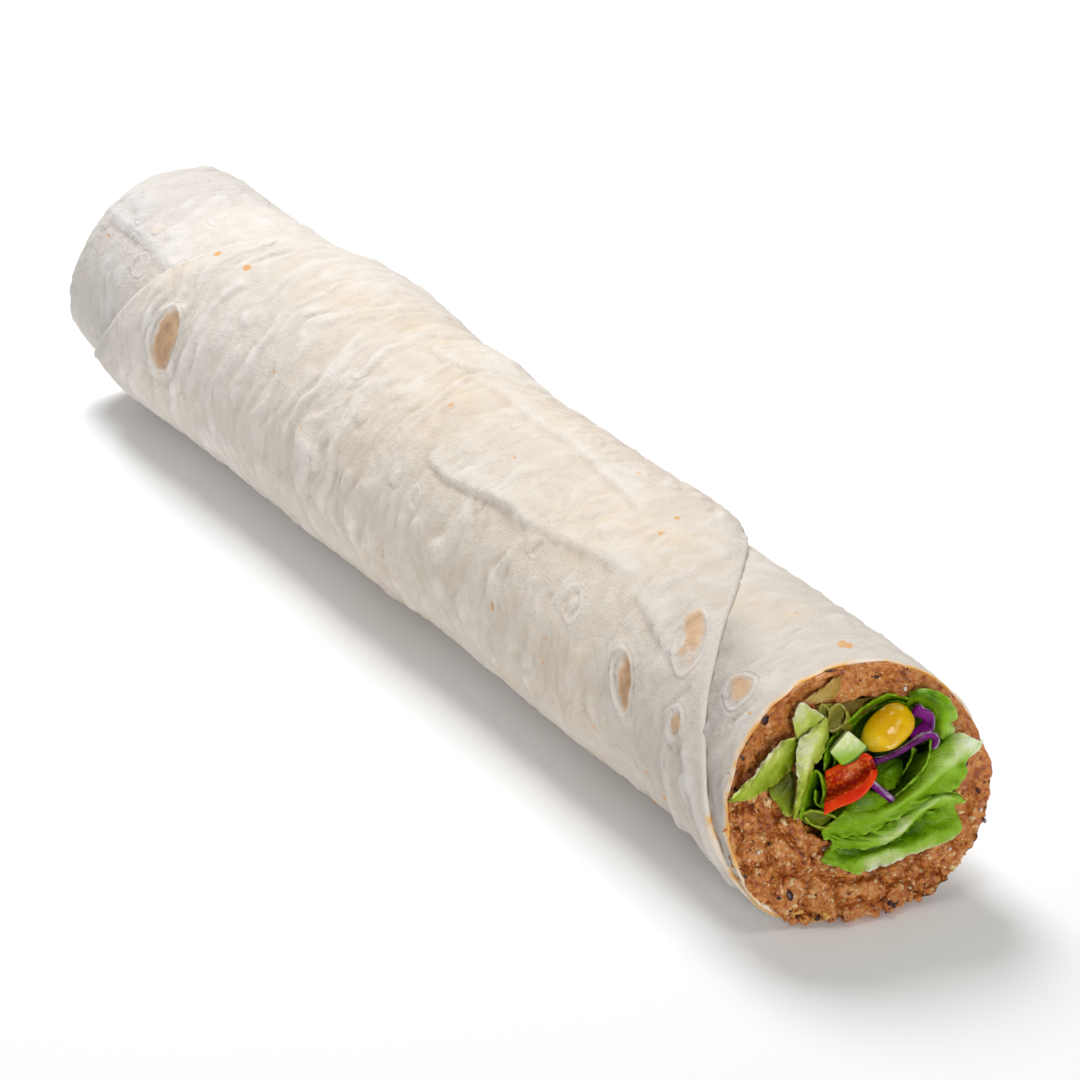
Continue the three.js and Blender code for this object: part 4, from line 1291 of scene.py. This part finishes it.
# Its low tones paint shade: a dark sheet under the top of the cut, standing for the shade there
lay_leaf("upper_fill_leaf", [
    [(-5, 16.4, -0.4, 0.3), (-1.5, 16.2, -0.5, 0.2), (2, 16, -0.7, 0.12), (5, 16, -1, 0.1)],
    [(-4.6, 14.2, 0.1, 0.15), (-1.6, 14.6, -0.1, 0.1), (1.4, 15, -0.5, 0.12), (4.4, 15.2, -1, 0.1)],
    [(-4.4, 11.5, -0.4, 0.2), (-2, 12.2, -0.4, 0.2), (1, 13.2, -0.4, 0.1), (4, 14.4, -0.6, 0.1)],
], loose=(0, 0.3), ruffle=0.2, seed=31, material=soaked_leaf)
lay_leaf("curl_fill_leaf", [
    [(-6.8, 16.2, 0.5, 0.5), (-5, 16.4, 0.6, 0.5), (-2.4, 15.6, 0.6, 0.45)],
    [(-6.6, 14, 0.4, 0.45), (-4.6, 13.8, 0.3, 0.35), (-2.2, 13.8, 0.3, 0.42)],
    [(-6.2, 12, 0.5, 0.45), (-4.6, 11.4, 0.5, 0.4), (-2.6, 11.8, 0.5, 0.45)],
], loose=(0, 0.3), ruffle=0.2, seed=33, material=pickled_leaf)
lay_leaf("lower_fill_leaf", [
    [(-11.2, -2, 0.3, 0.3), (-8.5, -2.2, 0.4, 0.4), (-5.6, -3.2, 0.4, 0.3)],
    [(-11, -3, 0.5, 0.3), (-8.5, -3.6, 0.7, 0.35), (-5.8, -4.2, 0.6, 0.3)],
    [(-10.4, -4.2, 0.3, 0.4), (-8.2, -5.2, 0.5, 0.45), (-6.2, -5.4, 0.4, 0.4)],
], loose=(0, 0.3), ruffle=0.2, seed=35, material=faded_leaf)

# Leaves that stand on edge. The rim of each follows a line of y, z and lift, and its blade goes
# back into the bundle: the line, its tone, how deep the blade goes, its material and its node
STANDING = {
    "dark_curl": (
        [(-11.6, -3, 2), (-10.6, 0, 2.2), (-9.8, 3.3, 2.4), (-8.7, 5, 2.4), (-7.6, 4.6, 2.2),
         (-7.1, 2.5, 2.2), (-7.1, 0, 2), (-7.8, -1.4, 1.8), (-8.5, -0.6, 1.6), (-8.4, 1.6, 1.4)],
        0.4, 6, cos_leaf, None),
    "lower_curl": (
        [(-11, -2.5, 1.6), (-9.5, -2, 1.8), (-8, -2.5, 2), (-6, -3.5, 2), (-5, -4.5, 1.8),
         (-6, -5.5, 1.6), (-7.5, -5.5, 1.6), (-9.5, -4.5, 1.6), (-10.5, -3, 1.4)],
        0.57, 4, faded_leaf, None),
    "upper_arc": (
        [(-5.2, 9, 0), (-2.5, 11.8, 0.3), (0.5, 14, 0.4), (3.5, 15.5, 0.4), (6, 16, 0.3),
         (8.5, 15, 0.2), (11, 14, -0.2), (12.5, 12, -0.4), (13.5, 9, -0.6)],
        0.4, 7, cos_leaf, "leaf_top"),
    "second_arc": (
        [(-4.6, 7.6, -1.2), (-2, 10.6, -1), (1, 12.8, -1), (4, 14, -1), (7.5, 14.4, -1),
         (10.5, 12.4, -1), (11.6, 10, -1.4)],
        0.36, 6, cos_leaf, None),
    "lower_arc": (
        [(12.6, 6.6, 1.4), (12, 3.7, 2.4), (10, 0.9, 2.4), (7.3, -1.2, 2), (5.5, -2.6, 1.4)],
        0.52, 6, cos_leaf, None),
    "inner_arc": (
        [(10, 5.5, -1.5), (9, 3, -1.5), (7, 0, -1.5), (5.5, -2, -1.5)],
        0.5, 5, cos_leaf, None),
    "beside_cucumber": (
        [(-6.5, 4.5, 0.8), (-6, 7.5, 0.9), (-5, 10, 0.9), (-3.5, 10.8, 0.6)],
        0.45, 6, cos_leaf, None),
    "behind_cucumber": (
        [(-5.2, 4, 0.2), (-4.4, 6, 0.3), (-5, 8, 0.3), (-3.8, 9.6, 0)],
        0.3, 6, cos_leaf, None),
    "left_pickle_curl": (
        [(-6.5, 15, 0.8), (-6.5, 16, 1), (-6, 16.5, 1.2), (-5, 15.5, 1.2), (-5, 14, 1), (-5.5, 13, 0.8)],
        0.6, 3, pickled_leaf, None),
    "right_pickle_curl": (
        [(-5, 14, 1), (-4.5, 15.5, 1.2), (-3, 16, 1.2), (-2, 14.5, 1.2), (-2, 13, 1.2), (-3, 12, 1),
         (-4.5, 11.5, 1), (-5.5, 12, 0.8)],
        0.6, 3, pickled_leaf, None),
}
RIM_PALER = 0.06
# Places down a blade, as shares of its depth, and how much painted shade darkens it there
FRESH_BLADE, PICKLED_BLADE = ((0.3, 0.12), (1, 0.3)), ((0.3, 0.02), (1, 0.08))
for seed, (name, (line, tone, depth, material, node)) in enumerate(STANDING.items(), 40):
    rows = [[(*p, tone + RIM_PALER) for p in line]]
    for share, darker in PICKLED_BLADE if material is pickled_leaf else FRESH_BLADE:
        sunk = share * depth
        own_tone = max(tone - darker, 0.05)
        rows.append([(y + 0.55 * sunk, z - 0.56 * sunk, lift - sunk, own_tone) for y, z, lift in line])
    lay_leaf(f"{name}_leaf", rows, loose=(1, 0), ruffle=0.3, seed=seed, replaces=node, pale_rim=0.15,
             material=material)

# The bundle behind them: leaves folded round one another down the whole length of the bore
CORE_SET_BACK = 6.5  # how far behind the cut the bundle stops
CORE_END = FAR_END + FAR_RECESS + 5.5  # where its crumpled far end begins
CORE_COLUMNS = 180
FAR_END_ROWS, SIDE_ROWS, CUT_END_ROWS = 45, 40, 15


def bundle_points():
    """A closed rod with a folded outside and crumpled ends, its tone dark but for pale rims: the dark is
    painted shade deep in the bore.
    """
    angle = np.arange(CORE_COLUMNS) * 360 / CORE_COLUMNS
    full = bore_radius(angle) - 0.5
    folds = 0.5 * sine(9 * angle + 30 * sine(2 * angle)) + 0.3 * sine(17 * angle)
    rows, tones = [], []
    for t in np.linspace(0, 1, FAR_END_ROWS)[:-1]:
        p = around(0 * angle, full * (0.02 + 0.98 * t), angle) + CORE_CENTRE
        y, z = p[:, 1], p[:, 2]
        wound = (0.8 * y + 0.6 * z) / 5.2 + 0.42 * np.sin(y / 3.1 - z / 4.7) + 0.3 * np.sin(y / 5.3 + z / 2.6)
        rim = 1 - np.abs(2 * (wound % 1) - 1)
        raised = ramp((rim - 0.45) / 0.45) * (0.75 + 0.25 * np.sin(y / 1.7 + z / 1.3))
        p[:, 0] = CORE_END - 4.4 * raised * (1 - t**8)
        rows.append(p)
        tones.append(0.1 + 0.62 * raised**2)
    for t in np.linspace(0, 1, SIDE_ROWS):
        radius = full + folds * np.minimum(1, 8 * t) * (1 - t**6)
        p = around(0 * angle, radius, angle) + CORE_CENTRE
        p[:, 0] = CORE_END + t * (cut_under(p) - CORE_SET_BACK - CORE_END)
        rows.append(p)
        tones.append(0.1 + 0 * angle)
    for t in np.linspace(0, 1, CUT_END_ROWS)[1:]:
        radius = full * (1 - 0.97 * t)
        p = around(0 * angle, radius, angle) + CORE_CENTRE
        crumple = 1.6 * np.sin(radius * 1.5 + 2.5 * cosine(2 * angle + 40) + 2 * sine(3 * angle))
        crumple = crumple * np.minimum(1, 4 * t)
        p[:, 0] = cut_under(p) - CORE_SET_BACK + crumple
        rows.append(p)
        tones.append(0.05 + 0.06 * crumple)
    return np.array(rows), np.array(tones)


def bar_faces(rows, columns):
    """Quads of rows of points that close round each row, and a flat face over each end."""
    sides = ring_faces(rows, columns)[:-columns].tolist()
    return sides, [list(range(columns)), list(range(columns * (rows - 1), columns * rows))]


rows, tones = bundle_points()
sides, (far_cap, cut_cap) = bar_faces(len(rows), CORE_COLUMNS)
bundle = new_object("lettuce_bundle_core", rows.reshape(-1, 3), [*sides, far_cap[::-1], cut_cap], cos_leaf)
depth = np.hypot(rows[..., 1] - CORE_Y, rows[..., 2] - AXIS_HEIGHT - CORE_Z)
place = np.stack([depth * 1.3, rows[..., 0] - 100, 0 * depth], -1) * MM
add_attribute(bundle, "leaf_place", place.reshape(-1, 3))
add_attribute(bundle, "tone", tones.ravel())
add_attribute(bundle, "rim", 0 * depth.ravel())
settled(bundle, "lettuce_bundle")

# --- Sweetcorn kernel --------------------------------------------------------------------------
# One cooked kernel of sweetcorn, plump and glossy, with a narrower, darker root end. It lies on
# the lettuce near the top of the cut.

KERNEL_PLACE, KERNEL_HALVES = (5.1, 10.0, 1.9), (4.95, 3.4, 3.1)
KERNEL_AXES = ((0.12, 0.83, 0.56), (-0.55, -0.45, 0.78), (1, -0.5, 0.4))
DEEP_CORN, BRIGHT_CORN = (0.74, 0.40, 0), (0.88, 0.58, 0)
PALE_CORN, CORN_ROOT = (0.96, 0.78, 0.28), (0.50, 0.36, 0.01)


def cube_grid(n):
    """A closed cube of n by n squares a side, as points from -1 to 1 and faces."""
    places, faces = {}, []
    steps = np.linspace(-1, 1, n + 1)

    def corner(p):
        return places.setdefault(tuple(np.round(p, 5)), len(places))

    for axis in range(3):
        u, v = (axis + 1) % 3, (axis + 2) % 3
        for end in (-1, 1):
            for i in range(n):
                for j in range(n):
                    face = []
                    for a, b in ((i, j), (i + 1, j), (i + 1, j + 1), (i, j + 1)):
                        p = np.empty(3)
                        p[axis], p[u], p[v] = end, steps[a], steps[b]
                        face.append(corner(p))
                    faces.append(face if end > 0 else face[::-1])
    return np.array(list(places)), faces


def pillow(points, power):
    """A cube's points drawn in to a rounded block: 2 makes a ball, more makes it squarer."""
    length = np.sum(np.abs(points) ** power, axis=1) ** (1 / power)
    return points * (np.abs(points).max(axis=1) / length)[:, None]


def stood(local, place, axes):
    """A small piece's points set on the cut: along it, across it, and out of it."""
    directions = np.array([axis / np.linalg.norm(axis) for axis in np.array(axes, float)])
    return on_cut(place) + local @ directions


def corn_skin():
    """Taut shiny skin over yellow flesh, with pale patches of painted highlight, and brownish at the root."""
    material, tree, shader = new_material(
        "sweetcorn skin", Roughness=0.35, Specular_IOR_Level=0, Coat_Weight=0.5, Coat_Roughness=0.13,
        Subsurface_Weight=0.1, Subsurface_Radius=(0.003, 0.0018, 0.0003), Subsurface_Scale=1)
    colour = mixed(patches(tree, 0.0045, 2, 0.35, 0.7), DEEP_CORN, BRIGHT_CORN)
    # Painted highlight: pale patches standing for the shine on the skin
    colour = mixed(patches(tree, 0.0024, 2, 0.54, 0.68) * 0.55, colour, PALE_CORN)
    colour = mixed(shader_attribute(tree, "root"), colour, CORN_ROOT)
    feed(shader, Base_Color=colour, Normal=pebbled(tree, 0.002, 1, 0.0005, 0.8))
    return material


cube, cube_faces = cube_grid(28)
ball = pillow(cube, 2)
squarer = np.sin(2 * np.arctan2(ball[:, 1], ball[:, 0])) ** 2 * np.hypot(ball[:, 0], ball[:, 1])
ball[:, :2] *= (1 + 0.07 * squarer)[:, None]
plump = ball * KERNEL_HALVES
root = ramp((-ball[:, 0] - 0.1) / 0.9)
plump[:, 1:] *= (1 - 0.22 * root + 0.05 * ramp(ball[:, 0]))[:, None]
plump[:, 2] -= 0.12 * hill(ball[:, 1] + 0.1, 0.45) * ramp(ball[:, 2]) * (1 - root)
plump[:, 1] += 0.25 * root
points = stood(plump, KERNEL_PLACE, KERNEL_AXES)
kernel = new_object("sweetcorn_kernel", points, cube_faces, corn_skin())
add_attribute(kernel, "root", ramp((-ball[:, 0] - 0.35) / 0.6) * 0.8)
settled(kernel, "corn_kernel")

# --- Cucumber ----------------------------------------------------------------------------------
# A corner of a cucumber slice: wet, pale, translucent flesh, greener towards the thin dark skin
# that is left along its lower side. It lies on the lettuce next to the corn.

CUCUMBER_CORNERS = np.array([(-2.0, 11.3), (-5.6, 8), (-3.4, 4.8), (1.6, 7.3)])
CUCUMBER_FOOT, CUCUMBER_THICK = -1.2, 4.6
WET_FLESH, PALE_FLESH = (0.68, 0.79, 0.34), (0.86, 0.91, 0.58)
GREEN_FLESH, CUCUMBER_SKIN = (0.27, 0.48, 0), (0.03, 0.12, 0.008)


def wedge_points(points):
    """A cube drawn to the four corners of the piece, with a rounded skin side and a sloping top."""
    u, v, w = (pillow(points, 14) * 0.5 + 0.5).T
    top, left, low, right = CUCUMBER_CORNERS
    inner_side = top + v[:, None] * (left - top)
    outer_side = right + v[:, None] * (low - right)
    flat = inner_side + u[:, None] * (outer_side - inner_side)
    skin_side = right + low - top - left
    flat = flat + (u * 0.55 * np.sin(np.pi * v))[:, None] * skin_side / np.linalg.norm(skin_side)
    narrowest = CUCUMBER_CORNERS.mean(axis=0) + (-0.9, 0.5)
    flat = flat + 0.14 * (1 - w)[:, None] * (narrowest - flat)
    lift = CUCUMBER_FOOT + w * (CUCUMBER_THICK - 0.5 * u + 0.3 * v)
    return on_cut(np.column_stack([flat, lift])), u, v


def cucumber_flesh():
    """Streaky wet flesh that turns green and then dark where the skin is."""
    material, tree, shader = new_material(
        "cucumber flesh and skin", Roughness=0.25, Coat_Weight=0.08, Coat_Roughness=0.1,
        Subsurface_Weight=0.2, Subsurface_Radius=(0.002, 0.003, 0.0012), Subsurface_Scale=1)
    colour = mixed(patches(tree, 0.0009, 2, 0.35, 0.75), WET_FLESH, PALE_FLESH)
    greener = shader_attribute(tree, "greener") + noise(tree, 0.0016) * 0.15
    colour = mixed(stepped(greener, 0.25, 0.85), colour, GREEN_FLESH)
    near_skin = shader_attribute(tree, "towards_skin") + uneven(tree, 0.0016, 2, 0.1)
    colour = mixed(stepped(near_skin, 0.84, 0.92), colour, CUCUMBER_SKIN)
    feed(shader, Base_Color=colour, Normal=pebbled(tree, 0.0014, 2, 0.0002, 0.6))
    return material


points, towards_skin, down = wedge_points(cube)
cucumber = new_object("cucumber_corner", points, [face[::-1] for face in cube_faces], cucumber_flesh())
add_attribute(cucumber, "towards_skin", towards_skin)
add_attribute(cucumber, "greener", 0.62 * towards_skin + 0.42 * down)
settled(cucumber, "cucumber_piece")

# --- Red pepper --------------------------------------------------------------------------------
# The closed end of a piece of red pepper, cut straight across: a thick glossy wall round a hollow
# whose inside is pitted and paler. It lies hollow side up on the lettuce.

PEPPER_LENGTH, PEPPER_HALF, PEPPER_DEPTH, PEPPER_WALL = 9.6, 3.5, 3.6, 1.2
PEPPER_PLACE = (-2.1, 2.0, 3.4)
PEPPER_AXES = ((0.36, 0.87, 0.33), (-0.72, 0.04, 0.69), (0.59, -0.49, 0.64))
DEEP_PEPPER, BRIGHT_PEPPER, CUT_PEPPER = (0.68, 0.014, 0), (0.90, 0.075, 0.002), (0.33, 0.004, 0.001)
BRIGHT_LINING, DEEP_LINING, PALE_FIBRE = (0.90, 0.15, 0.004), (0.58, 0.02, 0), (0.92, 0.34, 0.10)


def pepper_points(points):
    """A cube bent to a trough that closes at one end; its third axis goes through the wall."""
    t = points[:, 0] * 0.5 + 0.5
    angle = points[:, 1] * 1.72
    inward = points[:, 2] * 0.5 + 0.5
    wall = PEPPER_WALL * (1 + 0.5 * ramp(-np.sin(angle)))
    closing = np.sqrt(np.clip(1 - np.clip((t - 0.45) / 0.56, 0, 1) ** 2.4, 0, 1))
    lumpy = 1 + 0.05 * np.sin(5 * angle + 2) + 0.04 * np.sin(9 * t + 3 * angle)
    half = (PEPPER_HALF * lumpy - wall * inward) * (0.16 + 0.84 * closing)
    deep = (PEPPER_DEPTH * lumpy - wall * inward) * (0.2 + 0.8 * closing)
    along = (t - 0.5) * (PEPPER_LENGTH - 1.6 * PEPPER_WALL * inward * (t > 0.5) * (2 * t - 1))
    across = half * np.sin(angle) + 1.1 * ramp((t - 0.35) / 0.65)
    along = along + 0.42 * across * (1 - t)
    out = -deep * np.cos(angle) + 0.7 * ramp(-np.sin(angle)) + ramp((t - 0.5) * 2) * ramp(np.sin(angle))
    rim = hill(np.abs(points[:, 1]) - 1, 0.12) * 0.18
    return np.column_stack([along, across, out + rim * np.sin(np.pi * inward)]), inward


def pepper_flesh():
    """Glossy red skin, darkened by painted shade away from its lip, round a pitted inside with pale fibres.
    """
    material, tree, shader = new_material(
        "red pepper", Specular_IOR_Level=0.2, Coat_Weight=0.08, Coat_Roughness=0.06,
        Subsurface_Weight=0.25, Subsurface_Radius=(0.003, 0.0006, 0.0003), Subsurface_Scale=1)
    skin = mixed(patches(tree, 0.003, 2, 0.3, 0.7), DEEP_PEPPER, BRIGHT_PEPPER)
    # Painted shade: the outside of the wall is darker red except along the lip
    near_lip = shader_attribute(tree, "lip") + noise(tree, 0.002) * 0.1
    skin = mixed(stepped(near_lip, 0.74, 0.98), CUT_PEPPER, skin)
    pits = pitted(tree, 1300)
    lining = mixed(stepped(pits, 0.2, 0.62), BRIGHT_LINING, DEEP_LINING)
    fibre = shader_attribute(tree, "fibre") * patches(tree, 0.0012, 3, 0.3, 0.6)
    lining = mixed(fibre, lining, PALE_FIBRE)
    inside = stepped(shader_attribute(tree, "inward"), 0.6, 0.98)
    normal = relief(tree, pits * inside, 0.0004, 0.9)
    roughness = stepped(inside, 0, 1, (0.14, 0.42))
    feed(shader, Base_Color=mixed(inside, skin, lining), Roughness=roughness, Normal=normal)
    return material


local, inward = pepper_points(cube)
pepper = new_object("red_pepper_end", stood(local, PEPPER_PLACE, PEPPER_AXES), cube_faces, pepper_flesh())
add_attribute(pepper, "inward", inward)
add_attribute(pepper, "fibre", 0.9 * hill(cube[:, 0] - 0.25, 0.4) * ramp(cube[:, 1] * 1.6 + 0.1))
add_attribute(pepper, "lip", np.abs(cube[:, 1]))
settled(pepper, "red_pepper_piece")

# --- Red cabbage -------------------------------------------------------------------------------
# Three raw shreds of red cabbage: crisp, nearly square in section, glossy violet on the leaf's
# two faces and whitish where the knife has cut through. They lie under the corn and the pepper.

SHRED_STEPS, SHRED_SIDES = 70, 20
DEEP_VIOLET, BRIGHT_VIOLET = (0.10, 0.001, 0.095), (0.23, 0.004, 0.23)
LILAC, WHITISH = (0.56, 0.40, 0.62), (0.80, 0.70, 0.84)


def shred_points(line, width, thick, twist):
    """A bar along a smooth line over the cut, with rounded corners and torn, narrower ends."""
    spine = on_cut(evenly(line, SHRED_STEPS + 1))
    t = np.linspace(0, 1, SHRED_STEPS + 1)
    forward = np.gradient(spine, axis=0)
    forward /= np.linalg.norm(forward, axis=1, keepdims=True)
    across = np.cross(forward, SPILLING / np.linalg.norm(SPILLING))
    across /= np.linalg.norm(across, axis=1, keepdims=True)
    out = np.cross(across, forward)
    turned = np.interp(t, (0, 1), twist)[:, None]
    side = across * cosine(turned) + out * sine(turned)
    face = out * cosine(turned) - across * sine(turned)
    angle = np.linspace(0, 2 * np.pi, SHRED_SIDES, endpoint=False)
    c, s = np.cos(angle), np.sin(angle)
    square = 1 / (np.abs(c) ** 5 + np.abs(s) ** 5) ** 0.2
    ends = 0.35 + 0.65 * np.sqrt(ramp(np.minimum(t, 1 - t) / 0.06))
    girth = (ends * (1 + 0.1 * np.sin(9 * t + 2) + 0.06 * np.sin(23 * t)) / 2)[:, None, None]
    section = (width * c * square)[:, None] * side[:, None] + (thick * s * square)[:, None] * face[:, None]
    cut_face = np.clip(s * square, 0, 1) * np.ones((SHRED_STEPS + 1, 1))
    return spine[:, None] + girth * section, cut_face


def cabbage_flesh():
    """Blotchy violet, and whitish on the cut faces."""
    material, tree, shader = new_material(
        "red cabbage", Roughness=0.35, Specular_IOR_Level=0.1, Coat_Weight=0.25, Coat_Roughness=0.12,
        Subsurface_Weight=0.2, Subsurface_Radius=(0.0015, 0.0006, 0.0018), Subsurface_Scale=1)
    blotchy = patches(tree, 0.003, 3, 0.35, 0.65)
    violet = mixed(blotchy, DEEP_VIOLET, BRIGHT_VIOLET)
    whitish = mixed(blotchy, LILAC, WHITISH)
    cut = shader_attribute(tree, "cut_face") + uneven(tree, 0.0012, 2, 0.25)
    colour = mixed(stepped(cut, 0.93, 1.05), violet, whitish)
    feed(shader, Base_Color=colour, Normal=pebbled(tree, 0.0011, 2, 0.0002, 0.6))
    return material


# Each shred: the line it follows over the cut, its width and thickness, how far it is turned on
# its side at each end, and its node
SHREDS = {
    "long_cabbage_shred": (
        [(2, 4.6, 0.6), (4.5, 4.8, 1.3), (8, 6, 1.7), (11, 7.4, 2), (12.8, 7.6, 2.1), (13.6, 6.6, 2),
         (13.2, 5.4, 1.8), (12.4, 5.1, 1.5)],
        1.25, 1.05, (76, 55), "cabbage_shred_long"),
    "curled_cabbage_shred": (
        [(10.2, 12.8, 0.6), (11.2, 11.9, 0.9), (12.6, 10.8, 1.1), (12.4, 9.2, 1.2), (10.8, 8.2, 1.1),
         (9.2, 7.6, 0.8)],
        1.0, 2.2, (70, 60), "cabbage_shred_curl"),
    "short_cabbage_shred": (
        [(1, 1.8, 1), (2.6, -0.2, 1.6), (4, -1.8, 1.7), (5.4, -3.2, 2.0)],
        1.2, 1.1, (60, 20), "cabbage_shred_short"),
}
cabbage = cabbage_flesh()
sides, (first_cap, last_cap) = bar_faces(SHRED_STEPS + 1, SHRED_SIDES)
shred_faces = [f[::-1] for f in sides] + [first_cap, last_cap[::-1]]
for name, (line, width, thick, twist, node) in SHREDS.items():
    points, cut_face = shred_points(line, width, thick, twist)
    shred = new_object(name, points.reshape(-1, 3), shred_faces, cabbage)
    add_attribute(shred, "cut_face", cut_face.ravel())
    settled(shred, node)

# --- Bits in the paste -------------------------------------------------------------------------
# What else was kneaded in and shows at the cut: dark dried pepper flakes, a few bits of chopped
# onion and one flat orange seed. They are pressed into the face of the paste.

# Each bit: its place on the cut, then its length and width, all in mm
PEPPER_FLAKES = [
    (18.5, 1, 1.9, 1.1), (21.5, -10, 2.1, 0.8), (9, -13, 1.6, 1.1), (-14, -17, 1.7, 1.1),
    (-12.5, -21.5, 1.5, 0.9), (-9.5, -22, 1.2, 0.8), (-5, -22.5, 1.1, 0.7), (-16, 15.5, 1.6, 1.2),
    (-4, 22, 1.8, 0.3), (-16, -17, 0.8, 0.5), (4, 19.5, 1.1, 0.5), (-14, -19.5, 0.8, 0.7),
    (14, 18.5, 0.6, 0.4), (-21.5, -12, 0.8, 0.5), (-17, -7, 0.9, 0.5), (3.5, -21.5, 1.1, 0.7),
    (4, -22, 1.2, 0.8), (-22, 4, 1.1, 0.5), (-20.5, 9.5, 1.0, 0.5), (21, -4.5, 1.0, 0.6),
]
ONION_BITS = [(-7, -10, 1.3, 0.9), (21, -8, 0.8, 0.6), (9, 16.5, 0.9, 0.6), (-19, -8, 0.7, 0.5),
              (15, -14, 0.6, 0.4)]
SEEDS = [(-8.0, -21.6, 2.6, 1.3)]
SPECKS, SPECKS_REACH = 90, 23.5  # how many small flakes there are, and how far out they go
IN_FRONT = 9  # where each bit starts, before it is pressed in

paste_surface = BVHTree.FromPolygons(
    [v.co for v in paste.data.vertices], [p.vertices for p in paste.data.polygons])


def pressed_in(name, places, thick, proud, material, seed):
    """Small flat pieces laid on the cut paste, each turned its own way and dented at random."""
    rng = np.random.default_rng(seed)
    chip, chip_faces = cube_grid(3)
    chip = pillow(chip, 2.6)
    looking = Vector(-SPILLING).normalized()
    points, faces = [], []
    for y, z, length, width in places:
        start = Vector(on_cut((y, z, IN_FRONT)) * MM)
        hit, normal, _, _ = paste_surface.ray_cast(start, looking)
        if hit is None:
            continue
        normal = normal if normal.dot(looking) < 0 else -normal
        spun = rng.uniform(0, 2 * np.pi)
        along = normal.orthogonal().normalized()
        across = normal.cross(along)
        axes = np.array([along * np.cos(spun) + across * np.sin(spun),
                         across * np.cos(spun) - along * np.sin(spun), normal])
        dented = chip * (1 + 0.22 * rng.standard_normal((len(chip), 1)).clip(-1, 1))
        local = dented * (length / 2, width / 2, thick / 2) + (0, 0, proud)
        faces += [[i + len(points) * len(chip) for i in face] for face in chip_faces]
        points.append(np.array(hit) / MM + local @ axes)
    settled(new_object(name, np.concatenate(points), faces, material))


def plain_bit(name, dark, light, roughness, subsurface):
    """A wet bit, mottled between two colours."""
    material, tree, shader = new_material(
        name, Roughness=roughness, Specular_IOR_Level=0.5,
        Subsurface_Weight=subsurface, Subsurface_Radius=(0.001, 0.001, 0.001), Subsurface_Scale=1)
    colour = mixed(patches(tree, 0.0008, 2, 0.35, 0.65), dark, light)
    feed(shader, Base_Color=colour, Normal=pebbled(tree, 0.0005, 2, 0.0001, 0.6))
    return material


rng = np.random.default_rng(21)
specks = []
while len(specks) < SPECKS:
    y, z = rng.uniform(-24, 24, 2)
    if np.hypot(y, z) < SPECKS_REACH and np.hypot(y - CORE_Y, z - CORE_Z) > CORE_RADIUS + 0.5:
        specks.append((y, z, rng.uniform(0.25, 0.5), rng.uniform(0.15, 0.3)))
flake = plain_bit("dried pepper flake", (0.012, 0.006, 0.012), (0.06, 0.018, 0.02), 0.25, 0)
onion = plain_bit("chopped onion", (0.62, 0.44, 0.36), (0.88, 0.78, 0.72), 0.2, 0.4)
seed_skin = plain_bit("pepper seed", (0.62, 0.30, 0.04), (0.82, 0.50, 0.14), 0.3, 0.2)
pressed_in("dried_pepper_flakes", PEPPER_FLAKES + specks, 0.3, 0.12, flake, 5)
pressed_in("onion_bits", ONION_BITS, 0.7, 0.15, onion, 6)
pressed_in("pepper_seed", SEEDS, 0.6, 0.2, seed_skin, 7)
